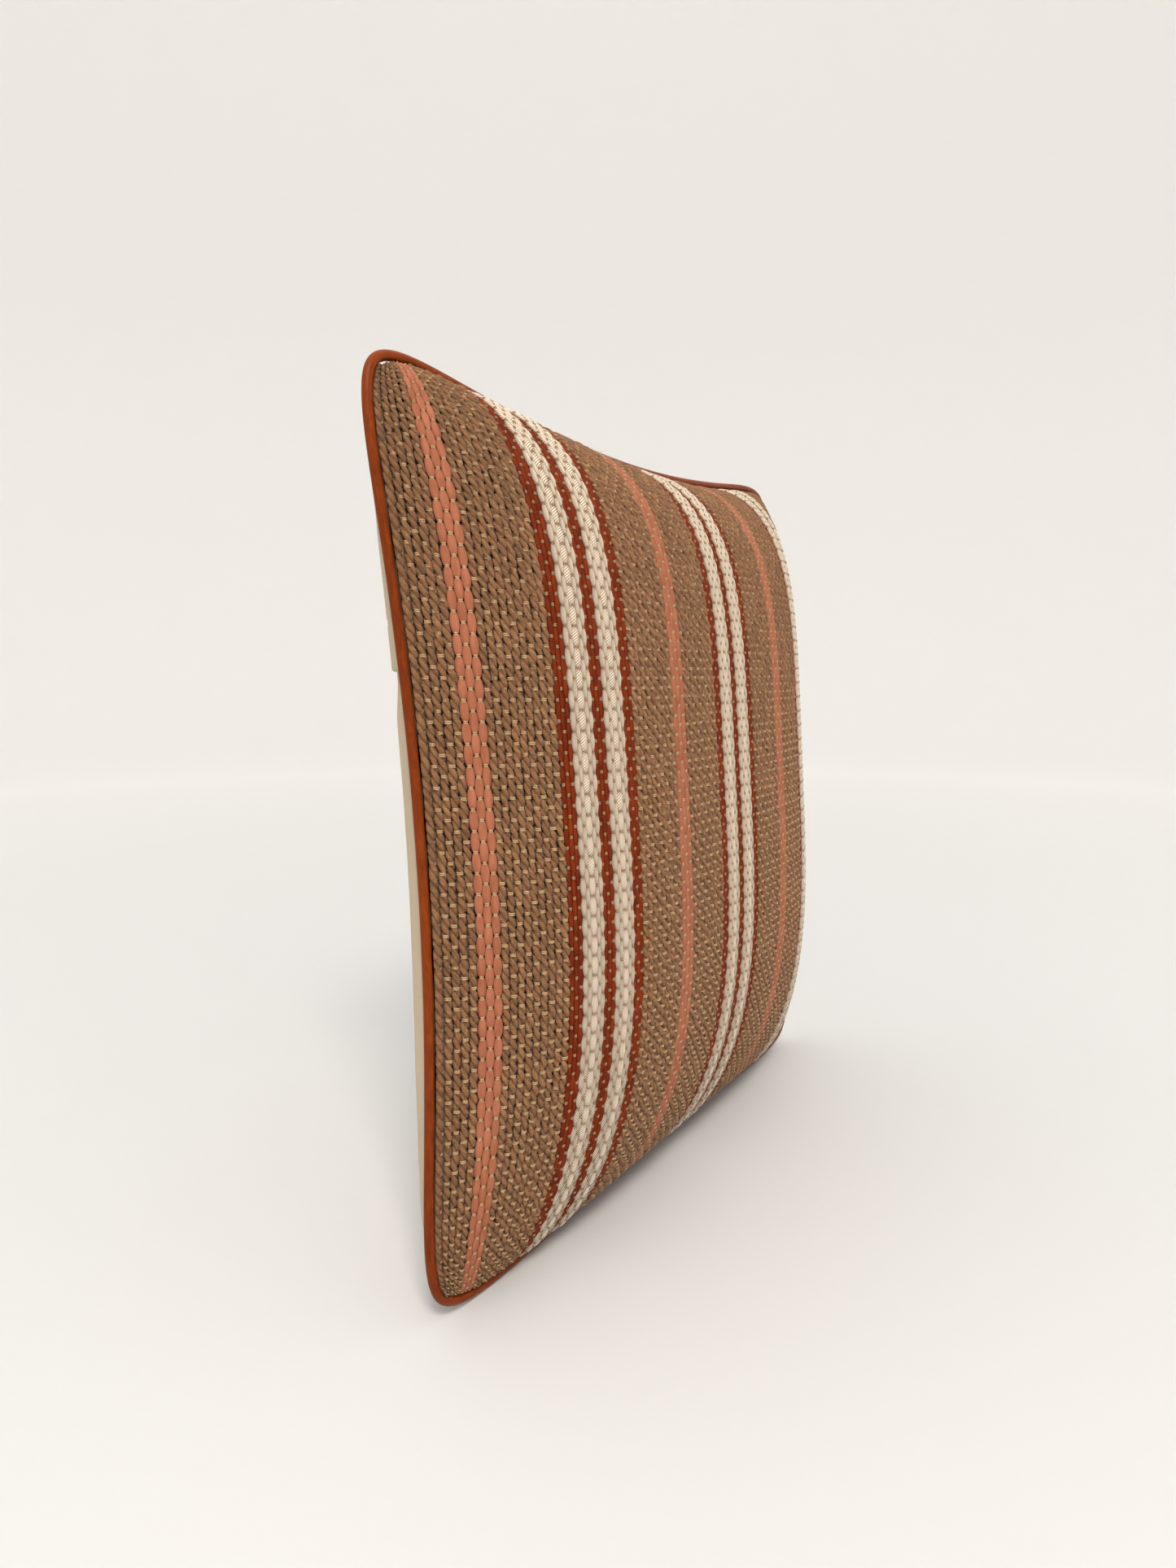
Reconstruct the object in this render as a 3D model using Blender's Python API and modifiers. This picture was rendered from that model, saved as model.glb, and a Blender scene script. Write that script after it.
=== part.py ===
"""Square throw pillow, standing on its bottom edge.

Units are metres, +Z is up, the striped front faces -Y, the width runs along X.
The origin is on the floor under the middle of the pillow.

The cover is described in cloth coordinates: u runs from the left seam (-1) to the
right seam (+1), v from the bottom seam (-1) to the top seam (+1), and depth is
measured inward from the outer face of the cover along its normal.  Every soft
layer is a flat grid in (u, v, layer) that one formula wraps round the filling, so
neighbouring layers keep their clearance everywhere.
"""

import math

import bmesh
import bpy
import numpy as np
from mathutils import Matrix, Vector

# ---------------------------------------------------------------- driving dimensions
MM = 0.001
CLEARANCE = 0.3 * MM              # gap kept between touching pieces
BAND_GAP = 0.5 * MM               # gap between the inner woven bands
EDGE_BAND_GAP = 2.5 * MM          # kept by the bands at both seams, where the cloth turns

# filled cover
HALF_SIZE = 230 * MM              # half the width and height at the seam
CENTRE_Z = 232.7 * MM             # the welt under the bottom seam just clears the floor
LEAN = 0.068                      # the seam plane leans back by this much per height
LEAN_PIVOT_Z = 212 * MM           # where the seam plane crosses Y = 0
WELT_RADIUS = 2.5 * MM
WELT_CORD_RADIUS = 1.35 * MM
WELT_WALL = 0.8 * MM
WELT_Y = -0.6 * MM                # the welt sits between the thick front and thin back
FRONT_DEPTH = 67 * MM             # bulge of the front beyond the seam
BACK_DEPTH = 67 * MM
FRONT_EDGE_Y = 3.0 * MM           # outer faces at the seam line
BACK_EDGE_Y = 1.8 * MM
SIDE_BOW = 0.099                  # how far the sides pull in between the corners
TOP_BOW = 0.105
BOTTOM_BOW = 0.020                # the bottom edge carries the weight and stays straight
CORNER_EXPONENT = 9               # the lower it is, the rounder the corners
FRONT_FULLER_RIGHT = -0.033       # the filling sits a little to the left in front
BACK_FULLER_TOP = -0.146          # and low in the back
# Bulge profiles (1 - |t|^a)^b across each face, above the middle and below it.
FRONT_PROFILES = {"u": (4.1, 1.05), "top": (4.3, 0.60), "bottom": (2.9, 0.74)}
BACK_PROFILES = {"u": (2.2, 0.70), "top": (4.1, 0.60), "bottom": (4.1, 0.60)}
BELLY_DROP = 22.5 * MM            # the back sags beside the bottom seam
BELLY_HEIGHT = 50 * MM
BELLY_START = 3 * MM              # distance from the seam plane where it begins
BELLY_FULL = 15 * MM
BELLY_FADE_X = (125 * MM, 195 * MM)       # it fades out before the corners
FLOOR_BLEND = 2.5 * MM            # how softly the cover meets its flat contact patch
SEAM_SQUEEZE = 0.60               # the stitching presses the layers together
SEAM_SQUEEZE_POWER = 40

# woven front: columns of yarn across the cloth
JUTE_COLUMN = 4.08 * MM
PINK_COLUMN = 4.08 * MM
RUST_COLUMN = 2.71 * MM
COTTON_COLUMN = 2.64 * MM
SEAM_TAKE_UP = 0.70 * MM          # extra cloth beside each side seam
BAND_COLUMNS = {"jute": 9, "edge_jute": 5, "pink": 3, "rust": 3, "cotton": 5}
GROUP = ["rust", "cotton", "rust", "cotton", "rust"]
BAND_ORDER = (["edge_jute", "pink", "jute"] + GROUP + ["jute", "pink", "jute"] + GROUP
              + ["jute", "pink", "jute"] + GROUP + ["jute", "pink", "edge_jute"])
WOVEN_INNER = 4.2 * MM            # depth of the woven cloth's inner face
BAND_RECESS = {"jute": 0.0, "edge_jute": 0.0, "pink": 0.5 * MM, "rust": 0.9 * MM,
               "cotton": 0.0}

# layers behind the faces
BACKING_LAYER = (5.4 * MM, 6.4 * MM)      # depths below the outer face
BACKING_REACH = 0.955                     # part of the cloth's width it covers
CASING_FRONT = (9.5 * MM, 10.7 * MM)      # inset of the insert from the bulging faces
CASING_BACK = (21.0 * MM, 22.2 * MM)
CASING_RIM = (17.0 * MM, 18.4 * MM)       # inset of the insert from the seam
FILL_FRONT = 12.6 * MM
FILL_BACK = 24.7 * MM
FILL_RIM = 21.0 * MM
INSERT_RIM_Y = 2.2 * MM
CANVAS = 1.1 * MM
FOLDED_CANVAS = 1.9 * MM

# lapped zipper in the back
FOLD_Z = 312 * MM
STITCH_Z = 334 * MM
ZIP_Z = 323 * MM
ZIP_RADIUS = 440 * MM             # outer face of the flap, seen from above
ZIP_HALF_CHORD = 162 * MM
ZIP_BLEND_Z = 36 * MM             # height over which the cover dents in to the arc
ZIP_BLEND_INSIDE = 90 * MM        # the layers inside follow it more softly
ZIP_BLEND_X = (165 * MM, 198 * MM)
TAPE_LAYER = (8.5 * MM, 9.1 * MM)
TAPE_AT_STITCH = 2.7 * MM
TUCK_TOP_Z = 316.6 * MM           # the lower panel's folded edge, under the flap
TUCK_DEPTH = 6.6 * MM
COIL_GAP = 1.4 * MM
COIL_RADIUS = 0.9 * MM
SLIDER_LENGTH = 10 * MM
SLIDER_HALF_WIDTH = 3.8 * MM
SLIDER_PLATE = 1.0 * MM
SLIDER_TOP_DEPTH = 6.6 * MM
SLIDER_POST = 0.8 * MM
SLIDER_LIP = 0.8 * MM             # turned-in edges that hold the tape
PULL_LENGTH = 15 * MM
PULL_WIDTH = 5 * MM
PULL_THICKNESS = 1.0 * MM
PULL_DEPTH = 5.7 * MM             # depth of the pull's hinge axis
STOP_LENGTH = 3 * MM

ROWS = 16                         # facets along each woven band
FLOOR_ROW = -0.955                # an extra row, so the cloth on the floor is flat
BACK_COLUMNS = 18
WELT_STEPS = 10                   # facets along the straight of each side
WELT_STRAIGHT = 0.87              # part of each side before the corner begins

# ---------------------------------------------------------------- materials
COLOURS = {
    "jute": (0.36, 0.23, 0.12, 1), "pink_leather": (0.56, 0.24, 0.16, 1),
    "rust_leather": (0.25, 0.035, 0.012, 1), "cotton": (0.78, 0.70, 0.60, 1),
    "welt_leather": (0.32, 0.07, 0.018, 1), "canvas": (0.60, 0.50, 0.38, 1),
    "backing": (0.66, 0.60, 0.50, 1), "welt_cord": (0.80, 0.77, 0.70, 1),
    "zipper_tape": (0.52, 0.43, 0.32, 1), "zipper_coil": (0.55, 0.46, 0.35, 1),
    "zipper_metal": (0.46, 0.40, 0.30, 1), "insert_casing": (0.82, 0.80, 0.76, 1),
    "fill": (0.90, 0.89, 0.86, 1),
}
SMOOTH_MATERIALS = {"pink_leather": 0.55, "rust_leather": 0.45, "welt_leather": 0.40,
                    "zipper_coil": 0.45, "zipper_metal": 0.35}


def clear_scene():
    for old in list(bpy.data.objects):
        bpy.data.objects.remove(old, do_unlink=True)


def material(name):
    found = bpy.data.materials.get(name)
    if found:
        return found
    made = bpy.data.materials.new(name)
    made.use_nodes = True
    shader = made.node_tree.nodes["Principled BSDF"]
    shader.inputs["Base Color"].default_value = COLOURS[name]
    shader.inputs["Roughness"].default_value = SMOOTH_MATERIALS.get(name, 0.9)
    shader.inputs["Metallic"].default_value = 1.0 if name == "zipper_metal" else 0.0
    made.diffuse_color = COLOURS[name]
    return made


def add_object(name, data, material_name, collection):
    made = bpy.data.objects.new(name, data)
    collection.objects.link(made)
    data.materials.append(material(material_name))
    return made


# ---------------------------------------------------------------- the cover's shape
def profile(t, shape):
    sharpness, roundness = shape
    return max(0.0, 1.0 - abs(t) ** sharpness) ** roundness


def arc_table(shape):
    """Cloth coordinate against position, so cloth is spread evenly over the bulge."""
    position = 1.0 - (1.0 - np.linspace(0.0, 1.0, 400)) ** 1.5
    height = FRONT_DEPTH / HALF_SIZE * np.array([profile(t, shape) for t in position])
    length = np.hypot(np.diff(position), np.diff(height))
    travelled = np.concatenate(([0.0], np.cumsum(length)))
    return travelled / travelled[-1], position


PROFILES = {-1: FRONT_PROFILES, 1: BACK_PROFILES}
TABLES = {side: {key: arc_table(shape) for key, shape in shapes.items()}
          for side, shapes in PROFILES.items()}
SEAM_Z = 2 * WELT_RADIUS + CLEARANCE


def half(t):
    """Name of the half of a face, above or below its middle."""
    return "top" if t > 0 else "bottom"


def spread(t, table):
    cloth, position = table
    return math.copysign(float(np.interp(abs(t), cloth, position)), t)


def gather(t, table):
    cloth, position = table
    return math.copysign(float(np.interp(abs(t), position, cloth)), t)


def smoothstep(t):
    t = min(1.0, max(0.0, t))
    return t * t * (3.0 - 2.0 * t)


def outline(gu, gv):
    """Seam plane position: sides bow in between rounded corners."""
    shrink = 1.0 - abs(gu * gv) ** CORNER_EXPONENT / (2 * CORNER_EXPONENT + 1)
    gu, gv = gu * shrink, gv * shrink
    bow = BOTTOM_BOW + (TOP_BOW - BOTTOM_BOW) * smoothstep((gv + 1.0) / 2.0)
    x = HALF_SIZE * gu * (1.0 - SIDE_BOW * gu * gu * (1.0 - gv * gv))
    z = HALF_SIZE * gv * (1.0 - bow * gv * gv * (1.0 - gu * gu))
    return x, CENTRE_Z + z


def seam_plane_y(z):
    return LEAN * (z - LEAN_PIVOT_Z)


def zipper_centre_y():
    """Centre of the zipper's arc: the arc touches the back at its middle."""
    height = (ZIP_Z - CENTRE_Z) / HALF_SIZE
    bulge = profile(height, BACK_PROFILES["top"]) * (1.0 + BACK_FULLER_TOP * height)
    return BACK_EDGE_Y + BACK_DEPTH * bulge + seam_plane_y(ZIP_Z) - ZIP_RADIUS


ZIP_CENTRE_Y = zipper_centre_y()


def taut_face(u, v, side, inside=False):
    """Outer face of the cover before its lower edge sags onto the floor."""
    gu = spread(u, TABLES[side]["u"])
    gv = spread(v, TABLES[side][half(v)])
    x, z = outline(gu, gv)
    shapes = PROFILES[side]
    bulge = profile(gu, shapes["u"]) * profile(gv, shapes[half(gv)])
    if side < 0:
        y = -FRONT_EDGE_Y - FRONT_DEPTH * bulge * (1.0 + FRONT_FULLER_RIGHT * gu)
        return Vector((x, y + seam_plane_y(z), z))
    y = BACK_EDGE_Y + BACK_DEPTH * bulge * (1.0 + BACK_FULLER_TOP * gv) + seam_plane_y(z)
    return Vector((x, pull_in_at_zipper(x, y, z, inside), z))


def outer_face(u, v, side, inside=False):
    point = taut_face(u, v, side, inside)
    if side < 0:
        return point
    from_seam = point.y - seam_plane_y(point.z)
    beside_seam = smoothstep((from_seam - BELLY_START) / (BELLY_FULL - BELLY_START))
    low = math.exp(-((point.z - SEAM_Z) / BELLY_HEIGHT) ** 2)
    start, end = BELLY_FADE_X
    middle = 1.0 - smoothstep((abs(point.x) - start) / (end - start))
    point.z -= BELLY_DROP * beside_seam * low * middle
    return point


def pull_in_at_zipper(x, y, z, inside):
    if inside:
        near_z = math.exp(-((z - ZIP_Z) / ZIP_BLEND_INSIDE) ** 2)
    else:
        near_z = math.exp(-((z - ZIP_Z) / ZIP_BLEND_Z) ** 4)
    start, end = ZIP_BLEND_X
    near_x = 1.0 - smoothstep((abs(x) - start) / (end - start))
    arc_y = ZIP_CENTRE_Y + math.sqrt(ZIP_RADIUS ** 2 - min(abs(x), ZIP_RADIUS) ** 2)
    weight = near_z * near_x
    return y * (1.0 - weight) + arc_y * weight


def rest_on_floor(z, level):
    """Flattens everything below a level, with a soft blend just above it."""
    above = z - level
    if above <= -FLOOR_BLEND:
        return level
    if above >= FLOOR_BLEND:
        return z
    return level + (above + FLOOR_BLEND) ** 2 / (4.0 * FLOOR_BLEND)


def seam_floor(from_seam):
    """Lowest height beside the welt, so the cloth passes over it to the floor."""
    reach = 12 * MM
    return SEAM_Z * (1.0 - smoothstep(abs(from_seam) / reach))


def cover_point(u, v, side, depth):
    """Point of the cover at a depth below its outer face, resting on the floor."""
    step = 0.002
    u_low, u_high = max(-1.0, u - step), min(1.0, u + step)
    v_low, v_high = max(-1.0, v - step), min(1.0, v + step)
    along_u = taut_face(u_high, v, side) - taut_face(u_low, v, side)
    along_v = taut_face(u, v_high, side) - taut_face(u, v_low, side)
    inward = along_u.cross(along_v).normalized() * side
    if inward.y * side > 0:
        inward = -inward
    edge = max(abs(u), abs(v)) ** SEAM_SQUEEZE_POWER
    depth *= 1.0 - SEAM_SQUEEZE * edge
    point = outer_face(u, v, side) + inward * depth
    from_seam = point.y - seam_plane_y(point.z)
    point.z = rest_on_floor(point.z, seam_floor(from_seam) + depth)
    seam_plane = seam_plane_y(point.z)
    if side < 0:
        point.y = min(point.y, seam_plane - CLEARANCE)
    else:
        point.y = max(point.y, seam_plane + CLEARANCE)
    return point


# ---------------------------------------------------------------- soft layers
def cloth_grid(name, cuts_a, cuts_b, place, material_name, collection):
    """A flat grid with one layer of thickness, wrapped by place(a, b, layer)."""
    bm = bmesh.new()
    bmesh.ops.create_grid(bm, x_segments=len(cuts_a) - 1, y_segments=len(cuts_b) - 1,
                          size=0.5)
    for vert in bm.verts:
        column = round((vert.co.x + 0.5) * (len(cuts_a) - 1))
        row = round((vert.co.y + 0.5) * (len(cuts_b) - 1))
        vert.co = (cuts_a[column], cuts_b[row], 0.0)
    extruded = bmesh.ops.extrude_face_region(bm, geom=bm.faces[:])["geom"]
    top = [item for item in extruded if isinstance(item, bmesh.types.BMVert)]
    bmesh.ops.translate(bm, verts=top, vec=(0.0, 0.0, 1.0))
    bm.normal_update()
    split_side_walls(bm)
    for vert in bm.verts:
        vert.co = place(vert.co.x, vert.co.y, vert.co.z)
    bmesh.ops.recalc_face_normals(bm, faces=bm.faces[:])
    if bm.calc_volume(signed=True) < 0:
        bmesh.ops.reverse_faces(bm, faces=bm.faces[:])
    mesh = bpy.data.meshes.new(name)
    bm.to_mesh(mesh)
    bm.free()
    mesh.shade_smooth()
    mesh.set_sharp_from_angle(angle=math.radians(40))
    return add_object(name, mesh, material_name, collection)


def split_side_walls(bm):
    """Cuts every wall quad along the same diagonal, so facing walls stay parallel."""
    for face in bm.faces[:]:
        if abs(face.normal.z) > 0.5:
            continue
        ordered = sorted(face.verts, key=lambda vert: (vert.co.x + vert.co.y, vert.co.z))
        bmesh.utils.face_split(face, ordered[0], ordered[-1])


def even_cuts(low, high, count):
    return [low + (high - low) * i / count for i in range(count + 1)]


def crowded_cuts(count):
    """Cuts from -1 to 1 that crowd towards both ends, where the cover curves most."""
    return [math.sin(0.5 * math.pi * (2.0 * i / count - 1.0)) for i in range(count + 1)]


def woven_rows():
    return sorted(crowded_cuts(ROWS) + [FLOOR_ROW])


def band_width(kind):
    column = {"jute": JUTE_COLUMN, "edge_jute": JUTE_COLUMN, "pink": PINK_COLUMN,
              "rust": RUST_COLUMN, "cotton": COTTON_COLUMN}[kind]
    extra = SEAM_TAKE_UP if kind == "edge_jute" else 0.0
    return column * BAND_COLUMNS[kind] + extra


def build_front(collection):
    """The woven front, as one band for each run of equal yarns."""
    names = {"jute": "jute_band", "edge_jute": "jute_band", "pink": "pink_leather_stripe",
             "rust": "rust_leather_stripe", "cotton": "white_cotton_stripe"}
    slots = {"jute": "jute", "edge_jute": "jute", "pink": "pink_leather",
             "rust": "rust_leather", "cotton": "cotton"}
    total = sum(band_width(kind) for kind in BAND_ORDER)
    rows = woven_rows()
    counts = {}
    edge = -1.0
    for kind in BAND_ORDER:
        start, end = edge, edge + 2.0 * band_width(kind) / total
        edge = end
        counts[names[kind]] = counts.get(names[kind], 0) + 1
        columns = {"jute": 3, "edge_jute": 2}.get(kind, 1)
        gap = (EDGE_BAND_GAP if kind == "edge_jute" else BAND_GAP) / total
        left = start + gap if start > -0.999 else -1.0
        right = end - gap if end < 0.999 else 1.0
        cuts = even_cuts(left, right, columns)
        recess = BAND_RECESS[kind]

        def place(u, v, layer, recess=recess):
            return cover_point(u, v, -1, recess + layer * (WOVEN_INNER - recess))

        cloth_grid(f"{names[kind]}_{counts[names[kind]]}", cuts, rows, place,
                   slots[kind], collection)


def insert_point(u, v, side, rim, inset):
    """Point of the insert: a smaller pillow nested inside the cover."""
    outer = outer_face(u, v, side, inside=True)
    shrink = 1.0 - rim / HALF_SIZE
    z = CENTRE_Z + (outer.z - CENTRE_Z) * shrink
    from_seam = outer.y - seam_plane_y(outer.z)
    flatter = 1.0 - inset / (FRONT_DEPTH if side < 0 else BACK_DEPTH)
    y = seam_plane_y(z) + side * INSERT_RIM_Y + from_seam * flatter
    z = max(z, inset)
    return Vector((outer.x * shrink, y, z))


def build_inside(collection):
    """Backing of the woven front, the insert's two casing panels and its filling."""
    columns = [cut * BACKING_REACH for cut in crowded_cuts(14)]

    def place_backing(u, v, layer):
        depth = BACKING_LAYER[0] + layer * (BACKING_LAYER[1] - BACKING_LAYER[0])
        return cover_point(u * (1.0 - 0.06 * v ** 8), v, -1, depth)

    cloth_grid("front_backing", columns, woven_rows()[1:-1], place_backing, "backing",
               collection)
    dent = [back_v(ZIP_Z - ZIP_BLEND_Z), back_v(ZIP_Z), back_v(ZIP_Z + ZIP_BLEND_Z)]
    rows = sorted(crowded_cuts(12) + dent)
    columns = crowded_cuts(12)
    for name, side, insets in (("insert_casing_front", -1, CASING_FRONT),
                               ("insert_casing_back", 1, CASING_BACK)):

        def place_casing(u, v, layer, side=side, insets=insets):
            rim = CASING_RIM[0] + layer * (CASING_RIM[1] - CASING_RIM[0])
            inset = insets[0] + layer * (insets[1] - insets[0])
            return insert_point(u, v, side, rim, inset)

        cloth_grid(name, columns, rows, place_casing, "insert_casing", collection)

    def place_fill(u, v, layer):
        if layer < 0.5:
            return insert_point(u, v, -1, FILL_RIM, FILL_FRONT)
        return insert_point(u, v, 1, FILL_RIM, FILL_BACK)

    cloth_grid("fill_core", columns, rows, place_fill, "fill", collection)


def back_v(z):
    """Cloth coordinate of a height on the back."""
    height = (z - CENTRE_Z) / HALF_SIZE
    return gather(height, TABLES[1][half(height)])


def build_back(collection):
    """Two canvas panels: the upper one ends in a folded flap over the zipper."""
    columns = crowded_cuts(BACK_COLUMNS)
    stitch_v = back_v(STITCH_Z)
    upper_rows = [back_v(FOLD_Z), back_v(FOLD_Z + 4 * MM), back_v(ZIP_Z), stitch_v,
                  stitch_v + 0.012, 0.52, 0.66, 0.79, 0.89, 0.955, 0.987, 1.0]

    def place_upper(u, v, layer):
        thickness = FOLDED_CANVAS if v < stitch_v + 0.001 else CANVAS
        return cover_point(u, v, 1, layer * thickness)

    cloth_grid("back_panel_upper", columns, upper_rows, place_upper, "canvas", collection)

    tuck_start = back_v(FOLD_Z - 26 * MM)
    under_flap = back_v(FOLD_Z - 2 * MM)
    tuck_top = back_v(TUCK_TOP_Z)
    flap_clear = FOLDED_CANVAS + CLEARANCE
    lower_rows = [-1.0, -0.987, -0.955, -0.90, -0.82, -0.67, -0.47, -0.24, -0.03,
                  tuck_start, back_v(FOLD_Z - 12 * MM), under_flap,
                  back_v(FOLD_Z + 1.2 * MM), tuck_top]

    def tuck_depth(v):
        if v <= under_flap:
            return flap_clear * smoothstep((v - tuck_start) / (under_flap - tuck_start))
        slope = max(0.0, v - lower_rows[-2]) / (tuck_top - lower_rows[-2])
        return flap_clear + (TUCK_DEPTH - flap_clear) * slope

    def place_lower(u, v, layer):
        return cover_point(u, v, 1, tuck_depth(v) + layer * CANVAS)

    cloth_grid("back_panel_lower", columns, lower_rows, place_lower, "canvas", collection)


# ---------------------------------------------------------------- welt round the seam
def seam_path(offset):
    """Closed path round the seam, moved outward by offset in the seam plane."""
    near_corner = [0.992, 0.981, 0.966, 0.945, 0.915]
    side_cuts = [-1.0] + [-cut for cut in near_corner]
    side_cuts += even_cuts(-WELT_STRAIGHT, WELT_STRAIGHT, WELT_STEPS)
    side_cuts += near_corner[::-1] + [1.0]
    corners = [(-1, -1), (1, -1), (1, 1), (-1, 1)]
    seam = []
    for index, (gu, gv) in enumerate(corners):
        next_u, next_v = corners[(index + 1) % 4]
        for cut in side_cuts[:-1]:
            blend = 0.5 * (cut + 1.0)
            seam.append(outline(gu + (next_u - gu) * blend, gv + (next_v - gv) * blend))
    path = []
    for index, (x, z) in enumerate(seam):
        before = seam[index - 1]
        after = seam[(index + 1) % len(seam)]
        run = Vector((after[0] - before[0], after[1] - before[1])).normalized()
        outward_z = z - run.x * offset
        path.append((x + run.y * offset, WELT_Y + seam_plane_y(outward_z), outward_z))
    return path


def sweep_section(name, path, section, material_name, collection):
    """Sweeps a section, given as (outward, along Y), round a closed path in XZ."""
    bm = bmesh.new()
    rings = []
    for index, place in enumerate(path):
        before = Vector(path[index - 1])
        after = Vector(path[(index + 1) % len(path)])
        run = after - before
        outward = Vector((run.z, 0.0, -run.x)).normalized()
        across = Vector((0.0, 1.0, 0.0))
        centre = Vector(place)
        rings.append([bm.verts.new(centre + outward * a + across * b) for a, b in section])
    for index, ring in enumerate(rings):
        following = rings[(index + 1) % len(rings)]
        for k in range(len(section)):
            nxt = (k + 1) % len(section)
            bm.faces.new((ring[k], ring[nxt], following[nxt], following[k]))
    bmesh.ops.recalc_face_normals(bm, faces=bm.faces[:])
    if bm.calc_volume(signed=True) < 0:
        bmesh.ops.reverse_faces(bm, faces=bm.faces[:])
    mesh = bpy.data.meshes.new(name)
    bm.to_mesh(mesh)
    bm.free()
    mesh.shade_smooth()
    mesh.set_sharp_from_angle(angle=math.radians(50))
    return add_object(name, mesh, material_name, collection)


def build_welt(collection):
    """Leather folded round a cord: a C section whose slit faces the seam."""
    offset = WELT_RADIUS + CLEARANCE
    path = seam_path(offset)
    slit = math.radians(12)
    inner_radius = WELT_RADIUS - WELT_WALL
    sweep = 2.0 * math.pi - 2.0 * slit
    section = []
    for k in range(9):
        angle = -math.pi + slit + sweep * k / 8
        section.append((WELT_RADIUS * math.cos(angle), WELT_RADIUS * math.sin(angle)))
    for k in range(5, -1, -1):
        angle = -math.pi + slit + sweep * k / 5
        section.append((inner_radius * math.cos(angle), inner_radius * math.sin(angle)))
    sweep_section("leather_welt", path, section, "welt_leather", collection)
    cord = []
    for k in range(6):
        angle = math.pi * (2 * k + 1) / 6
        cord.append((WELT_CORD_RADIUS * math.cos(angle), WELT_CORD_RADIUS * math.sin(angle)))
    sweep_section("welt_cord", path, cord, "welt_cord", collection)


# ---------------------------------------------------------------- zipper
def arc_point(angle, z, depth):
    """Point on the zipper's arc, seen from above, at a depth below the flap."""
    radius = ZIP_RADIUS - depth
    return Vector((radius * math.sin(angle), ZIP_CENTRE_Y + radius * math.cos(angle), z))


ZIP_HALF_ANGLE = math.asin(ZIP_HALF_CHORD / ZIP_RADIUS)
REST_ANGLE = ZIP_HALF_ANGLE - (STOP_LENGTH + SLIDER_LENGTH / 2 + 2 * MM) / ZIP_RADIUS


def build_tapes(collection):
    angles = even_cuts(-ZIP_HALF_ANGLE, ZIP_HALF_ANGLE, 24)
    low, high = TAPE_LAYER
    thickness = high - low
    inner = COIL_GAP / 2 + 2 * COIL_RADIUS + CLEARANCE
    flat = SLIDER_HALF_WIDTH + 0.6 * MM
    upper_heights = [ZIP_Z + inner, ZIP_Z + flat, STITCH_Z - 1 * MM, STITCH_Z + 2 * MM]
    lower_heights = [FOLD_Z - 3 * MM, ZIP_Z - flat, ZIP_Z - inner]

    def place_upper(angle, z, layer):
        rise = smoothstep((z - upper_heights[1]) / (upper_heights[2] - upper_heights[1]))
        return arc_point(angle, z, low + rise * (TAPE_AT_STITCH - low) + layer * thickness)

    def place_lower(angle, z, layer):
        return arc_point(angle, z, low + layer * thickness)

    cloth_grid("zipper_tape_upper", angles, upper_heights, place_upper, "zipper_tape",
               collection)
    cloth_grid("zipper_tape_lower", angles, lower_heights, place_lower, "zipper_tape",
               collection)


def build_coils(collection):
    """Each row of the nylon coil, as the bar that the fine coil fills."""
    reach = ZIP_HALF_ANGLE - (STOP_LENGTH + 1 * MM) / ZIP_RADIUS
    middle = 0.5 * (TAPE_LAYER[0] + TAPE_LAYER[1])
    for name, sign in (("zipper_coil_upper", 1), ("zipper_coil_lower", -1)):
        height = ZIP_Z + sign * (COIL_GAP / 2 + COIL_RADIUS)
        data = bpy.data.curves.new(name, "CURVE")
        data.dimensions = "3D"
        data.bevel_depth = COIL_RADIUS
        data.bevel_resolution = 1
        data.use_fill_caps = True
        spline = data.splines.new("POLY")
        angles = even_cuts(-reach, reach, 30)
        spline.points.add(len(angles) - 1)
        for point, angle in zip(spline.points, angles):
            point.co = (*arc_point(angle, height, middle), 1.0)
        curve = add_object(name, data, "zipper_coil", collection)
        curve_to_mesh(curve, collection, "zipper_coil")


def curve_to_mesh(curve, collection, material_name):
    name = curve.name
    bpy.context.view_layer.update()
    graph = bpy.context.evaluated_depsgraph_get()
    mesh = bpy.data.meshes.new_from_object(curve.evaluated_get(graph))
    place = curve.matrix_world.copy()
    bpy.data.objects.remove(curve, do_unlink=True)
    bm = bmesh.new()
    bm.from_mesh(mesh)
    bmesh.ops.remove_doubles(bm, verts=bm.verts[:], dist=0.00001)
    bm.to_mesh(mesh)
    bm.free()
    mesh.name = name
    mesh.materials.clear()
    made = add_object(name, mesh, material_name, collection)
    made.matrix_world = place
    return made


def box(bm, low, high):
    """Adds a box between two corners."""
    size = [high[i] - low[i] for i in range(3)]
    centre = [0.5 * (high[i] + low[i]) for i in range(3)]
    matrix = Matrix.Translation(centre) @ Matrix.Diagonal((*size, 1.0))
    bmesh.ops.create_cube(bm, size=1.0, matrix=matrix)


def box_object(name, low, high, collection):
    bm = bmesh.new()
    box(bm, low, high)
    mesh = bpy.data.meshes.new(name)
    bm.to_mesh(mesh)
    bm.free()
    made = bpy.data.objects.new(name, mesh)
    collection.objects.link(made)
    return made


def apply_modifiers(target):
    """Freezes the modifiers of an object into its own mesh."""
    bpy.context.view_layer.update()
    graph = bpy.context.evaluated_depsgraph_get()
    mesh = bpy.data.meshes.new_from_object(target.evaluated_get(graph))
    target.modifiers.clear()
    target.data = mesh


def boolean(target, tool, operation):
    modifier = target.modifiers.new(tool.name, "BOOLEAN")
    modifier.object = tool
    modifier.operation = operation
    modifier.solver = "EXACT"
    tool.hide_render = True
    tool.display_type = "WIRE"


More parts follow.
